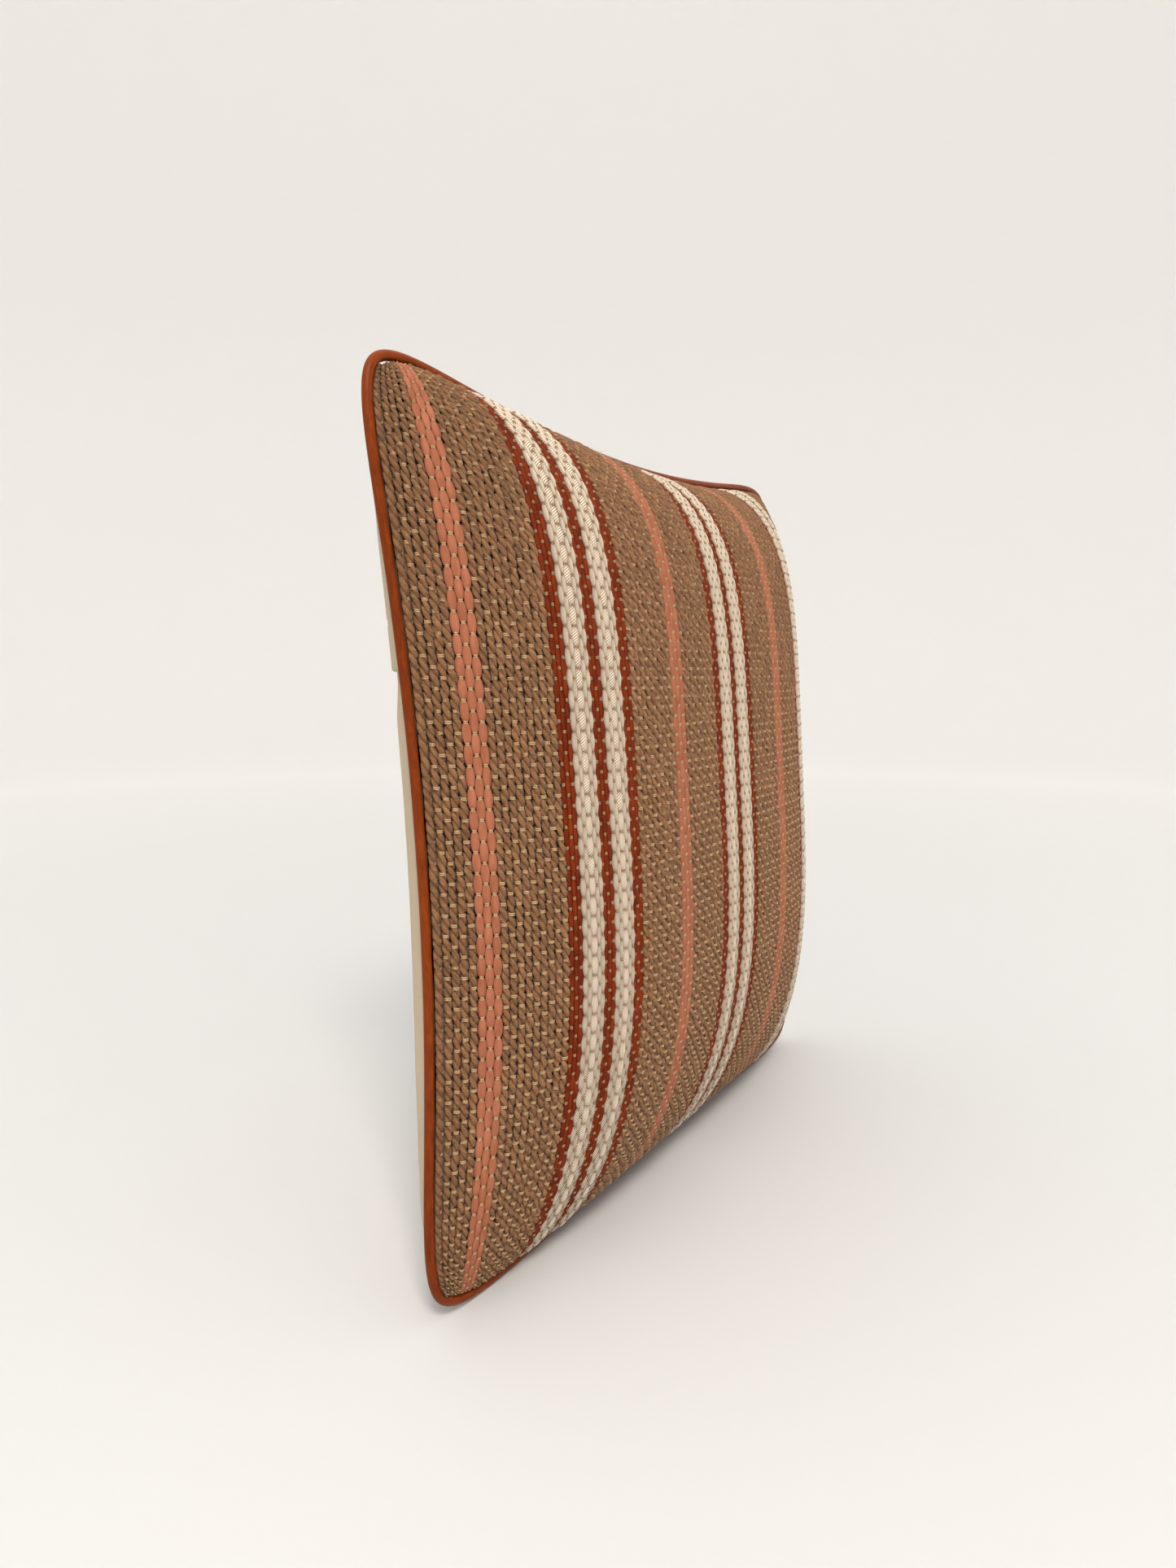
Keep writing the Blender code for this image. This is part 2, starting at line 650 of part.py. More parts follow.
def slider_body(cutters, collection):
    """Two plates joined by a post, with lips that hold the tape's edges.

    Local axes: X along the zipper, Y outward, Z across it; Y = 0 is the flap's face.
    """
    top = -SLIDER_TOP_DEPTH
    middle = -0.5 * (TAPE_LAYER[0] + TAPE_LAYER[1])
    bottom = 2 * middle - top
    half = SLIDER_LENGTH / 2
    width = SLIDER_HALF_WIDTH
    body = box_object("zipper_slider", (-half, bottom, -width), (half, top, width),
                      collection)
    body.data.materials.append(material("zipper_metal"))
    channel_high = top - SLIDER_PLATE
    channel_low = bottom + SLIDER_PLATE
    tape_room = 0.6 * MM
    reach = half + 1 * MM
    for name, sign in (("upper", 1), ("lower", -1)):
        near, far = SLIDER_POST / 2, width - SLIDER_LIP
        low_z, high_z = sorted((sign * near, sign * far))
        boolean(body, box_object(f"cut_channel_{name}", (-reach, channel_low, low_z),
                                 (reach, channel_high, high_z), cutters), "DIFFERENCE")
        low_z, high_z = sorted((sign * (far - 0.2 * MM), sign * (width + 1 * MM)))
        boolean(body, box_object(f"cut_slot_{name}", (-reach, middle - tape_room, low_z),
                                 (reach, middle + tape_room, high_z), cutters),
                "DIFFERENCE")
    foot = 1.0 * MM
    arch_half = 2.7 * MM
    arch_width = 1.0 * MM
    arch_top = -3.9 * MM
    arch = box_object("add_bridge", (-arch_half, top - 0.4 * MM, -arch_width),
                      (arch_half, arch_top, arch_width), cutters)
    boolean(body, arch, "UNION")
    boolean(body, box_object("cut_bridge", (-arch_half + foot, top, -arch_width - foot),
                             (arch_half - foot, arch_top - 0.9 * MM, arch_width + foot),
                             cutters), "DIFFERENCE")
    apply_modifiers(body)
    soften(body, 0.25 * MM)
    return body


def soften(target, width):
    bevel = target.modifiers.new("soft edges", "BEVEL")
    bevel.width = width
    bevel.segments = 1
    bevel.limit_method = "ANGLE"
    bevel.angle_limit = math.radians(60)


def pull_tab(cutters, collection):
    """Flat tab whose eye hangs on the slider's bridge; X = 0 is the hinge axis."""
    half_bar = 0.5 * PULL_THICKNESS
    width = PULL_WIDTH / 2
    tab = box_object("zipper_pull_tab", (-PULL_LENGTH, -half_bar, -width),
                     (half_bar, half_bar, width), collection)
    tab.data.materials.append(material("zipper_metal"))
    eye = box_object("cut_eye", (-3.4 * MM, -1 * MM, -1.5 * MM),
                     (-half_bar, 1 * MM, 1.5 * MM), cutters)
    boolean(tab, eye, "DIFFERENCE")
    apply_modifiers(tab)
    soften(tab, 0.3 * MM)
    return tab


def empty(name, place, collection):
    made = bpy.data.objects.new(name, None)
    made.location = place
    collection.objects.link(made)
    return made


def build_zipper(collection, cutters):
    build_tapes(collection)
    build_coils(collection)
    centre = Vector((0.0, ZIP_CENTRE_Y, ZIP_Z))
    slider_pivot = empty("slider_pivot", centre, collection)
    slider = slider_body(cutters, collection)
    slider.parent = slider_pivot
    slider.location = arc_point(REST_ANGLE, ZIP_Z, 0.0) - centre
    slider.rotation_euler = (0.0, 0.0, -REST_ANGLE)
    pull_place = arc_point(REST_ANGLE, ZIP_Z, PULL_DEPTH)
    pull_pivot = empty("pull_pivot", pull_place - centre, collection)
    pull_pivot.parent = slider_pivot
    pull_pivot.rotation_euler = (0.0, 0.0, -REST_ANGLE)
    tab = pull_tab(cutters, collection)
    tab.parent = pull_pivot
    stop_angle = ZIP_HALF_ANGLE - (STOP_LENGTH / 2 + 0.3 * MM) / ZIP_RADIUS
    for name, sign in (("zipper_top_stop", 1), ("zipper_bottom_stop", -1)):
        half = STOP_LENGTH / 2
        stop = box_object(name, (-half, -0.5 * MM, -3.4 * MM), (half, 0.5 * MM, 3.4 * MM),
                          collection)
        stop.data.materials.append(material("zipper_metal"))
        stop.location = arc_point(sign * stop_angle, ZIP_Z, TAPE_LAYER[0] - 0.9 * MM)
        stop.rotation_euler = (0.0, 0.0, -sign * stop_angle)
        soften(stop, 0.2 * MM)


def main():
    clear_scene()
    scene = bpy.context.scene
    pillow = bpy.data.collections.new("throw_pillow")
    cutters = bpy.data.collections.new("cutters")
    scene.collection.children.link(pillow)
    scene.collection.children.link(cutters)
    build_front(pillow)
    build_inside(pillow)
    build_back(pillow)
    build_welt(pillow)
    build_zipper(pillow, cutters)


main()
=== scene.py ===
"""Looks of the square throw pillow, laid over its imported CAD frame.

Units are metres, +Z is up, and the woven front faces -Y.

The cover is described in cloth coordinates: u runs from the left seam (-1) to the
right seam (+1), and v from the bottom seam (-1) to the top seam (+1).  The filled
shape is worked out first, as two grids of points, and every yarn, tape, tie and
stitch is then laid on those grids at its own u, v and height.
"""

import math

import bmesh
import bpy
import numpy as np
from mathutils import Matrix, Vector


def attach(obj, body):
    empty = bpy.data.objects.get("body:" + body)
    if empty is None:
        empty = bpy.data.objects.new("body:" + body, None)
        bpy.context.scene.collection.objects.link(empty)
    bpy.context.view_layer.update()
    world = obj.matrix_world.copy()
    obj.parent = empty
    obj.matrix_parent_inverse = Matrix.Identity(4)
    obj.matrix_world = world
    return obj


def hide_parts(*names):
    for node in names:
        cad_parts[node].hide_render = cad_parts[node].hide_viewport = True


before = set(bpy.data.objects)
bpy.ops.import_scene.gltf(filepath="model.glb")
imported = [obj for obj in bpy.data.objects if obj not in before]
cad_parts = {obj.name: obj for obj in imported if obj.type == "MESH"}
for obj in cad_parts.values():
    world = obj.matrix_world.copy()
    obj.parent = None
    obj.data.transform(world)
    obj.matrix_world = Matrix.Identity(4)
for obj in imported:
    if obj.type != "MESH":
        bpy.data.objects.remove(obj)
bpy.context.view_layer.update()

# ---------------------------------------------------------------- the filled cover
MM = 0.001
HALF_SIZE = 230 * MM                      # half the width and height at the seam
WELT_RADIUS = 2.5 * MM
SEAM_Z = 2 * WELT_RADIUS + 0.3 * MM       # the bottom seam, above the welt
CENTRE_Z = 232.7 * MM
WELT_Y = -0.6 * MM
LEAN = 0.068                              # the seam plane leans back by this per height
LEAN_PIVOT_Z = 212 * MM
FRONT_DEPTH = 67 * MM                     # bulge beyond the seam
BACK_DEPTH = 67 * MM
FRONT_EDGE_Y = 3.0 * MM                   # outer faces at the seam
BACK_EDGE_Y = 1.8 * MM
SIDE_BOW = 0.099                          # how far each side pulls in between corners
TOP_BOW = 0.105
BOTTOM_BOW = 0.020
CORNER_EXPONENT = 9                       # the lower it is, the rounder the corners
FRONT_FULLER_RIGHT = -0.033
BACK_FULLER_TOP = -0.146
# Bulge profiles (1 - |t|^a)^b across each face, above the middle and below it.
FRONT_PROFILES = {"u": (4.1, 1.05), "top": (4.3, 0.60), "bottom": (2.9, 0.74)}
BACK_PROFILES = {"u": (2.2, 0.70), "top": (4.1, 0.60), "bottom": (4.1, 0.60)}
BELLY_DROP = 22.5 * MM                    # the back sags beside the bottom seam
BELLY_HEIGHT = 50 * MM
BELLY_START = 3 * MM
BELLY_FULL = 15 * MM
BELLY_FADE_X = (125 * MM, 195 * MM)
FLOOR_BLEND = 2.5 * MM
CLOTH_UP = 0.486                          # metres of cloth from bottom to top seam

# zipper in the back
FOLD_Z = 312 * MM
STITCH_Z = 334 * MM
ZIP_Z = 323 * MM
ZIP_RADIUS = 440 * MM
ZIP_BLEND_Z = 36 * MM
ZIP_BLEND_X = (165 * MM, 198 * MM)

# ---------------------------------------------------------------- the weave
TIE_ROWS = 50                             # ties along each column of yarn
SEAM_TAKE_UP = 0.70 * MM
COLUMN_WIDTH = {"jute": 4.08 * MM, "pink": 4.08 * MM, "rust": 2.71 * MM,
                "cotton": 2.64 * MM}
GROUP = [("rust", 3), ("cotton", 5), ("rust", 3), ("cotton", 5), ("rust", 3)]
SIDE_BANDS = [("jute", 5), ("pink", 3), ("jute", 9)]
BANDS = (SIDE_BANDS + GROUP + [("jute", 9), ("pink", 3), ("jute", 9)] + GROUP
         + [("jute", 9), ("pink", 3), ("jute", 9)] + GROUP + SIDE_BANDS[::-1])
NODE_NAMES = {"jute": "jute_band", "pink": "pink_leather_stripe",
              "rust": "rust_leather_stripe", "cotton": "white_cotton_stripe"}

COTTON_SHARES = [0.18, 0.18, 0.28, 0.18, 0.18]    # the middle cord is the fattest
SEAM_GROOVE = 2.2 * MM                    # the canvas dives into the seam
PUCKER = 0.55 * MM
HALF_CANVAS = 0.55 * MM
HALF_FOLD = 0.95 * MM                     # the canvas is double above the fold
FLAP_CLEAR = 2.2 * MM                     # depth of the lower panel under the flap
TUCK_TOP_Z = 316.6 * MM
TUCK_DEPTH = 6.6 * MM
STITCH_RADIUS = 0.30 * MM
STITCH_STEP = 0.0152                      # in u
STITCH_HALF = 0.0062
HAIR_RADIUS = 0.05 * MM
HAIR_LENGTH = 0.95 * MM
GRID = 241                                # points along each side of a cover grid
SEED = 20


# ---------------------------------------------------------------- cover shape
def profile(t, shape):
    sharpness, roundness = shape
    return np.clip(1.0 - np.abs(t) ** sharpness, 0.0, 1.0) ** roundness


def arc_table(shape):
    position = 1.0 - (1.0 - np.linspace(0.0, 1.0, 400)) ** 1.5
    height = FRONT_DEPTH / HALF_SIZE * profile(position, shape)
    travelled = np.concatenate(([0.0], np.cumsum(np.hypot(np.diff(position),
                                                          np.diff(height)))))
    return travelled / travelled[-1], position


SHAPES = {-1: FRONT_PROFILES, 1: BACK_PROFILES}
TABLES = {side: {key: arc_table(shape) for key, shape in shapes.items()}
          for side, shapes in SHAPES.items()}


def spread(t, table):
    """Place across the outline that a cloth coordinate comes to."""
    return np.sign(t) * np.interp(np.abs(t), table[0], table[1])


def spread_v(v, side):
    return np.where(v > 0.0, spread(v, TABLES[side]["top"]), spread(v, TABLES[side]["bottom"]))


def profile_v(gv, side):
    return np.where(gv > 0.0, profile(gv, SHAPES[side]["top"]),
                    profile(gv, SHAPES[side]["bottom"]))


def smoothstep(t):
    t = np.clip(t, 0.0, 1.0)
    return t * t * (3.0 - 2.0 * t)


def outline(gu, gv):
    shrink = 1.0 - np.abs(gu * gv) ** CORNER_EXPONENT / (2 * CORNER_EXPONENT + 1)
    gu, gv = gu * shrink, gv * shrink
    x = HALF_SIZE * gu * (1.0 - SIDE_BOW * gu * gu * (1.0 - gv * gv))
    bow = BOTTOM_BOW + (TOP_BOW - BOTTOM_BOW) * smoothstep((gv + 1.0) / 2.0)
    z = HALF_SIZE * gv * (1.0 - bow * gv * gv * (1.0 - gu * gu))
    return x, CENTRE_Z + z


def seam_plane_y(z):
    return LEAN * (z - LEAN_PIVOT_Z)


def zipper_centre_y():
    height = (ZIP_Z - CENTRE_Z) / HALF_SIZE
    bulge = profile_v(height, 1) * (1.0 + BACK_FULLER_TOP * height)
    return BACK_EDGE_Y + BACK_DEPTH * bulge + seam_plane_y(ZIP_Z) - ZIP_RADIUS


ZIP_CENTRE_Y = zipper_centre_y()


def cover_surface(u, v, side):
    """Outer face of the cover, resting on the floor, as arrays of points."""
    gu = spread(u, TABLES[side]["u"])
    gv = spread_v(v, side)
    x, z = outline(gu, gv)
    bulge = profile(gu, SHAPES[side]["u"]) * profile_v(gv, side)
    if side < 0:
        bulge *= 1.0 + FRONT_FULLER_RIGHT * gu
        y = seam_plane_y(z) - FRONT_EDGE_Y - FRONT_DEPTH * bulge
        return np.stack([x, y, z], axis=-1)
    y = seam_plane_y(z) + BACK_EDGE_Y + BACK_DEPTH * bulge * (1.0 + BACK_FULLER_TOP * gv)
    near_z = np.exp(-((z - ZIP_Z) / ZIP_BLEND_Z) ** 4)
    start, end = ZIP_BLEND_X
    near_x = 1.0 - smoothstep((np.abs(x) - start) / (end - start))
    arc_y = ZIP_CENTRE_Y + np.sqrt(ZIP_RADIUS ** 2 - x ** 2)
    y += near_z * near_x * (arc_y - y)
    from_seam = y - seam_plane_y(z)
    beside_seam = smoothstep((from_seam - BELLY_START) / (BELLY_FULL - BELLY_START))
    fade_start, fade_end = BELLY_FADE_X
    middle = 1.0 - smoothstep((np.abs(x) - fade_start) / (fade_end - fade_start))
    z = z - BELLY_DROP * beside_seam * middle * np.exp(-((z - SEAM_Z) / BELLY_HEIGHT) ** 2)
    return np.stack([x, y, rest_on_floor(z, seam_floor(from_seam))], axis=-1)


def rest_on_floor(z, level):
    above = z - level
    blended = (above + FLOOR_BLEND) ** 2 / (4.0 * FLOOR_BLEND)
    lifted = np.where(above <= -FLOOR_BLEND, 0.0,
                      np.where(above >= FLOOR_BLEND, above, blended))
    return level + lifted


def seam_floor(from_seam):
    return SEAM_Z * (1.0 - smoothstep(np.abs(from_seam) / (12 * MM)))


class CoverGrid:
    """One face of the cover as a grid of points, read at any u, v and height."""

    def __init__(self, side):
        self.side = side
        cuts = np.linspace(-1.0, 1.0, GRID)
        self.u, self.v = np.meshgrid(cuts, cuts, indexing="ij")
        self.points = cover_surface(self.u, self.v, side)
        self.refresh()

    def refresh(self):
        along_u = np.gradient(self.points, axis=0)
        along_v = np.gradient(self.points, axis=1)
        normal = np.cross(along_v, along_u) * self.side
        length = np.linalg.norm(normal, axis=-1, keepdims=True)
        self.normals = normal / np.maximum(length, 1e-12)

    def read(self, grid, u, v):
        """Smooth (Catmull-Rom) reading of a grid of vectors."""
        a = np.clip((np.asarray(u) + 1.0) * 0.5 * (GRID - 1), 0.0, GRID - 1.0)
        b = np.clip((np.asarray(v) + 1.0) * 0.5 * (GRID - 1), 0.0, GRID - 1.0)
        a, b = np.broadcast_arrays(a, b)
        i = np.minimum(a.astype(int), GRID - 2)
        j = np.minimum(b.astype(int), GRID - 2)
        weights_a = catmull_rom(a - i)
        weights_b = catmull_rom(b - j)
        total = 0.0
        for k in range(4):
            row = np.clip(i + k - 1, 0, GRID - 1)
            for m in range(4):
                column = np.clip(j + m - 1, 0, GRID - 1)
                weight = (weights_a[k] * weights_b[m])[..., None]
                total = total + weight * grid[row, column]
        return total

    def place(self, u, v, height):
        """Points at a height above the outer face (negative is inside the cloth)."""
        normal = self.read(self.normals, u, v)
        normal /= np.linalg.norm(normal, axis=-1, keepdims=True)
        return self.read(self.points, u, v) + normal * np.asarray(height)[..., None]


def catmull_rom(t):
    return (0.5 * (-t ** 3 + 2 * t ** 2 - t), 0.5 * (3 * t ** 3 - 5 * t ** 2 + 2),
            0.5 * (-3 * t ** 3 + 4 * t ** 2 + t), 0.5 * (t ** 3 - t ** 2))


front = CoverGrid(-1)
back = CoverGrid(1)

# ---------------------------------------------------------------- yarns
rng = np.random.default_rng(SEED)
PITCH = 2.0 / TIE_ROWS                    # one tie to the next, in v
PITCH_MM = 9.7                            # and along the cloth
SEAM_REACH = 0.5 * MM                     # the outer yarns press against the welt
SEAM_PRESS = 1.7 * MM                     # and lean over its foot
SEAM_RISE = 0.9 * MM


def column_layout():
    """Every column of yarn: its band, kind, middle and half width in u, and its order."""
    total = sum(COLUMN_WIDTH[kind] * count for kind, count in BANDS) + 2 * SEAM_TAKE_UP
    numbers = {}
    layout = []
    place = -SEAM_REACH
    for band, (kind, count) in enumerate(BANDS):
        numbers[kind] = numbers.get(kind, 0) + 1
        shares = COTTON_SHARES if kind == "cotton" else [1.0 / count] * count
        band_width = count * COLUMN_WIDTH[kind]
        if band in (0, len(BANDS) - 1):
            band_width += SEAM_TAKE_UP + SEAM_REACH
        for k, share in enumerate(shares):
            width = share * band_width
            layout.append({"band": band, "kind": kind, "number": numbers[kind], "k": k,
                           "u": -1.0 + 2.0 * (place + width / 2) / total,
                           "half": width / total, "width": width})
            place += width
    for order, column in enumerate(layout):
        column["phase"] = 0.5 * (order % 2)
        column["order"] = order
    return layout


def slow_noise(count, steps, size):
    """Smooth random curve of a given size, one value per step."""
    knots = rng.normal(0.0, size, count)
    return np.interp(np.linspace(0, count - 1, steps), np.arange(count), knots)


def make_object(name, points, faces, attributes, material, body="pillow"):
    """A mesh piece from an array of points and a list of (polygon size, index array)."""
    mesh = bpy.data.meshes.new(name)
    mesh.vertices.add(len(points))
    mesh.vertices.foreach_set("co", np.ascontiguousarray(points, dtype=np.float32).ravel())
    corners = np.concatenate([np.asarray(group).ravel() for group in faces])
    sizes = np.concatenate([np.full(len(group), np.shape(group)[1]) for group in faces])
    mesh.loops.add(len(corners))
    mesh.loops.foreach_set("vertex_index", corners.astype(np.int32))
    mesh.polygons.add(len(sizes))
    starts = np.concatenate(([0], np.cumsum(sizes)[:-1]))
    mesh.polygons.foreach_set("loop_start", starts.astype(np.int32))
    for key, values in attributes.items():
        flat = np.ascontiguousarray(values, dtype=np.float32)
        if flat.ndim == 1:
            mesh.attributes.new(key, "FLOAT", "POINT").data.foreach_set("value", flat)
        else:
            layer = mesh.attributes.new(key, "FLOAT_VECTOR", "POINT")
            layer.data.foreach_set("vector", flat.ravel())
    mesh.update(calc_edges=True)
    mesh.validate()
    mesh.shade_smooth()
    mesh.materials.append(material)
    made = bpy.data.objects.new(name, mesh)
    bpy.context.scene.collection.objects.link(made)
    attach(made, body)
    return made


def lay_of(shape, across, along, layer):
    """Millimetres across and along a yarn or cloth, for its material to be drawn in."""
    return np.stack([np.broadcast_to(part, shape) for part in (across, along, layer)], axis=-1)


def grid_quads(index):
    """The four corners of every cell in a grid of vertex numbers."""
    return np.stack([index[:-1, :-1], index[1:, :-1], index[1:, 1:], index[:-1, 1:]],
                    axis=-1).reshape(-1, 4)


def tube_faces(tubes, rings, sides):
    """Quads and end caps of equal tubes whose points run tube, ring, side."""
    start = np.arange(tubes)[:, None, None] * rings * sides
    ring = np.arange(rings - 1)[None, :, None] * sides
    side = np.arange(sides)[None, None, :]
    following = (side + 1) % sides
    a, b = start + ring + side, start + ring + following
    quads = np.stack([a, b, b + sides, a + sides], axis=-1).reshape(-1, 4)
    first = np.arange(tubes)[:, None] * rings * sides + np.arange(sides)[None, :]
    last = first + (rings - 1) * sides
    caps = np.concatenate([first[:, ::-1], last])
    return [quads, caps]


def lobes(plies, points_per_ply, depth):
    """Radius round a plied yarn: a ridge for each ply and a valley between them."""
    step = np.arange(plies * points_per_ply) / points_per_ply
    return 1.0 - depth * (1.0 - np.abs(np.sin(math.pi * step)) ** 0.7)


# Each yarn has rings per tie, plies, points per ply, depth of the valleys between plies,
# turns per tie, half height, height of its middle, parts of the column's half width at
# a tie and between ties, and how blunt its ends are (small is blunt).
YARNS = {
    "jute": dict(rings=12, plies=2, points=4, depth=0.40, turns=0.90, high=1.95 * MM,
                 middle=-1.65 * MM, at_tie=0.86, between=1.24, power=0.75),
    "pink": dict(rings=12, plies=1, points=10, depth=0.0, turns=0.0, high=1.00 * MM,
                 middle=-1.25 * MM, at_tie=0.50, between=1.20, power=0.50),
    "rust": dict(rings=12, plies=1, points=8, depth=0.0, turns=0.0, high=0.80 * MM,
                 middle=-1.60 * MM, at_tie=0.52, between=1.24, power=0.70),
    "cotton": dict(rings=12, plies=6, points=2, depth=0.36, turns=1.25, high=1.40 * MM,
                   middle=-1.10 * MM, at_tie=0.66, between=1.34, power=0.75),
}


def yarn_points(column, spec):
    """Rings of points along one column, from the bottom seam to the top seam."""
    kind = column["kind"]
    steps = TIE_ROWS * spec["rings"] + 1
    place = np.linspace(0.0, TIE_ROWS, steps)
    open_part = np.abs(np.sin(math.pi * (place - column["phase"]))) ** spec["power"]
    width = spec["at_tie"] + (spec["between"] - spec["at_tie"]) * open_part
    if kind == "cotton" and column["k"] in (0, 4):
        width = width + 0.28 * (open_part - 0.5)
    leather = kind in ("pink", "rust")
    wander = {"jute": 0.075, "cotton": 0.030}.get(kind, 0.012)
    width = width * (1.0 + slow_noise(90, steps, wander))
    high = spec["high"] * (0.80 + 0.20 * open_part) * (1.0 + slow_noise(70, steps, wander))
    if kind == "cotton" and column["k"] == 2:
        high = high * 1.25
    middle = spec["middle"] + 0.30 * MM * (open_part - 1.0)
    middle = middle + slow_noise(60, steps, 0.18 * MM if kind == "jute" else 0.05 * MM)
    drift = slow_noise(60, steps, 0.09 if kind == "jute" else 0.02)
    handed = -1.0 if kind == "cotton" and column["k"] == 2 else 1.0
    turn = place * spec["turns"] + slow_noise(40, steps, 0.06) + rng.random()
    if spec["turns"] == 0.0:
        turn = np.zeros(steps)
    sides = spec["plies"] * spec["points"]
    angle = 2 * math.pi * (np.arange(sides) / sides + handed * turn[:, None])
    radius = lobes(spec["plies"], spec["points"], spec["depth"]) if spec["plies"] > 1 \
        else np.ones(sides)
    ends = np.clip(np.minimum(place, TIE_ROWS - place) / 0.35, 0.25, 1.0)[:, None]
    across = width[:, None] * radius * np.cos(angle) + drift[:, None]
    lift = high[:, None] * radius * np.sin(angle) * ends
    if leather:
        lift = high[:, None] * np.sign(np.sin(angle)) * np.abs(np.sin(angle)) ** 0.75
    u = np.clip(column["u"] + column["half"] * across * (0.8 + 0.2 * ends), -1.0, 1.0)
    v = np.broadcast_to((place * PITCH - 1.0)[:, None], u.shape)
    points = front.place(u, v, lift + middle[:, None] - 1.2 * MM * (1.0 - ends))
    beside_seam = math.copysign(smoothstep((abs(column["u"]) - 0.975) / 0.020), column["u"])
    points[..., 0] += SEAM_PRESS * beside_seam
    points[..., 1] -= SEAM_RISE * abs(beside_seam)
    mm_along = place[:, None] * PITCH_MM
    mm_round = column["width"] / MM * 0.5 * (np.arange(sides) / sides * 2 * math.pi)[None, :]
    lay = lay_of(u.shape, mm_round, mm_along, 7.3 * column["order"])
    tone = np.broadcast_to(slow_noise(75, steps, 1.0)[:, None] + rng.normal(0, 0.5), u.shape)
    # Mask for painted shade: 1 on the crown of each ply, down to 0 in the valleys between
    # plies, and lower at the pinched ties
    yarn_shade_mask = np.broadcast_to((radius - radius.min()) / max(np.ptp(radius), 1e-6), u.shape) \
        * (0.35 + 0.65 * open_part[:, None])
    return points, lay, tone, yarn_shade_mask


def build_bands(layout):
    for band, (kind, count) in enumerate(BANDS):
        members = [column for column in layout if column["band"] == band]
        spec = YARNS[kind]
        made = [yarn_points(column, spec) for column in members]
        points, lay, tone, yarn_shade_mask = (np.stack([item[i] for item in made]) for i in range(4))
        tubes, rings, sides = points.shape[:3]
        name = f"{NODE_NAMES[kind]}_{members[0]['number']}"
        piece = make_object(name + "_yarns", points.reshape(-1, 3),
                            tube_faces(tubes, rings, sides),
                            {"lay": lay.reshape(-1, 3), "tone": tone.ravel(),
                             "yarn_shade_mask": yarn_shade_mask.ravel()},
                            MATERIALS[SLOTS[kind]])
        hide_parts(name)
        build_ties(members, kind, name)


TIE_RADIUS = 0.37 * MM
TIE_SPACING = 0.40 * MM
TIE_REACH = {"jute": 0.80, "pink": 0.56, "rust": 0.58, "cotton": 0.56}
TIE_SINK = 0.45 * MM                      # the jute hides its ties in the upper half
TIE_ARCH = {"jute": 1.56 * MM, "pink": 0.92 * MM, "rust": 0.78 * MM, "cotton": 1.28 * MM}


def build_ties(members, kind, name):
    """Two fine threads over each column at every tie, diving into the gaps beside it."""
    sweep = np.radians([-100.0, -58.0, 0.0, 58.0, 100.0])
    sides = np.arange(4) / 4 * 2 * math.pi
    tubes = []
    lays = []
    for column in members:
        rows = np.arange(TIE_ROWS) + column["phase"]
        rows = rows[(rows > 0.4) & (rows < TIE_ROWS - 0.4)]
        count = len(rows)
        shift = rng.normal(0.0, 0.10 * MM, count)
        slant = rng.normal(0.0, 0.10 * MM, count)
        size = 1.0 + rng.normal(0.0, 0.07, count)
        for hand in (-1.0, 1.0):
            reach = TIE_REACH[kind] * column["half"] * size[:, None]
            across = column["u"] + reach * np.sin(sweep)[None, :]
            lift = TIE_ARCH[kind] * np.cos(sweep)[None, :] + YARNS[kind]["middle"]
            sunk = smoothstep((rows * PITCH - 0.9) / 0.6)[:, None] if kind == "jute" else 0.0
            lift = lift - TIE_SINK * sunk
            along = (hand * TIE_SPACING + shift)[:, None] + slant[:, None] * np.sin(sweep)
            u = across[:, :, None] + 0.0 * sides
            metres_per_v = 0.5 * CLOTH_UP
            v = (rows * PITCH - 1.0)[:, None, None] \
                + (along[:, :, None] + TIE_RADIUS * np.cos(sides)) / metres_per_v
            lift = np.broadcast_to(lift, across.shape)
            height = lift[:, :, None] + TIE_RADIUS * 0.85 * np.sin(sides)
            tubes.append(front.place(u, np.clip(v, -1, 1), np.broadcast_to(height, v.shape)))
            lays.append(lay_of(v.shape, sides * 0.4, sweep[None, :, None] * 1.4,
                               rows[:, None, None] + column["order"]))
    points = np.concatenate(tubes)
    lay = np.concatenate(lays)
    # The ties on the cotton and rust take a darker copy of the tie material, painted shade for
    # ties that sit in the pinches
    make_object(name + "_ties", points.reshape(-1, 3),
                tube_faces(len(points), len(sweep), len(sides)),
                {"lay": lay.reshape(-1, 3)},
                MATERIALS["ties_painted_shade" if kind in ("cotton", "rust") else "ties"])


# ---------------------------------------------------------------- materials
SLOTS = {"jute": "jute", "pink": "pink_leather", "rust": "rust_leather",
         "cotton": "cotton"}


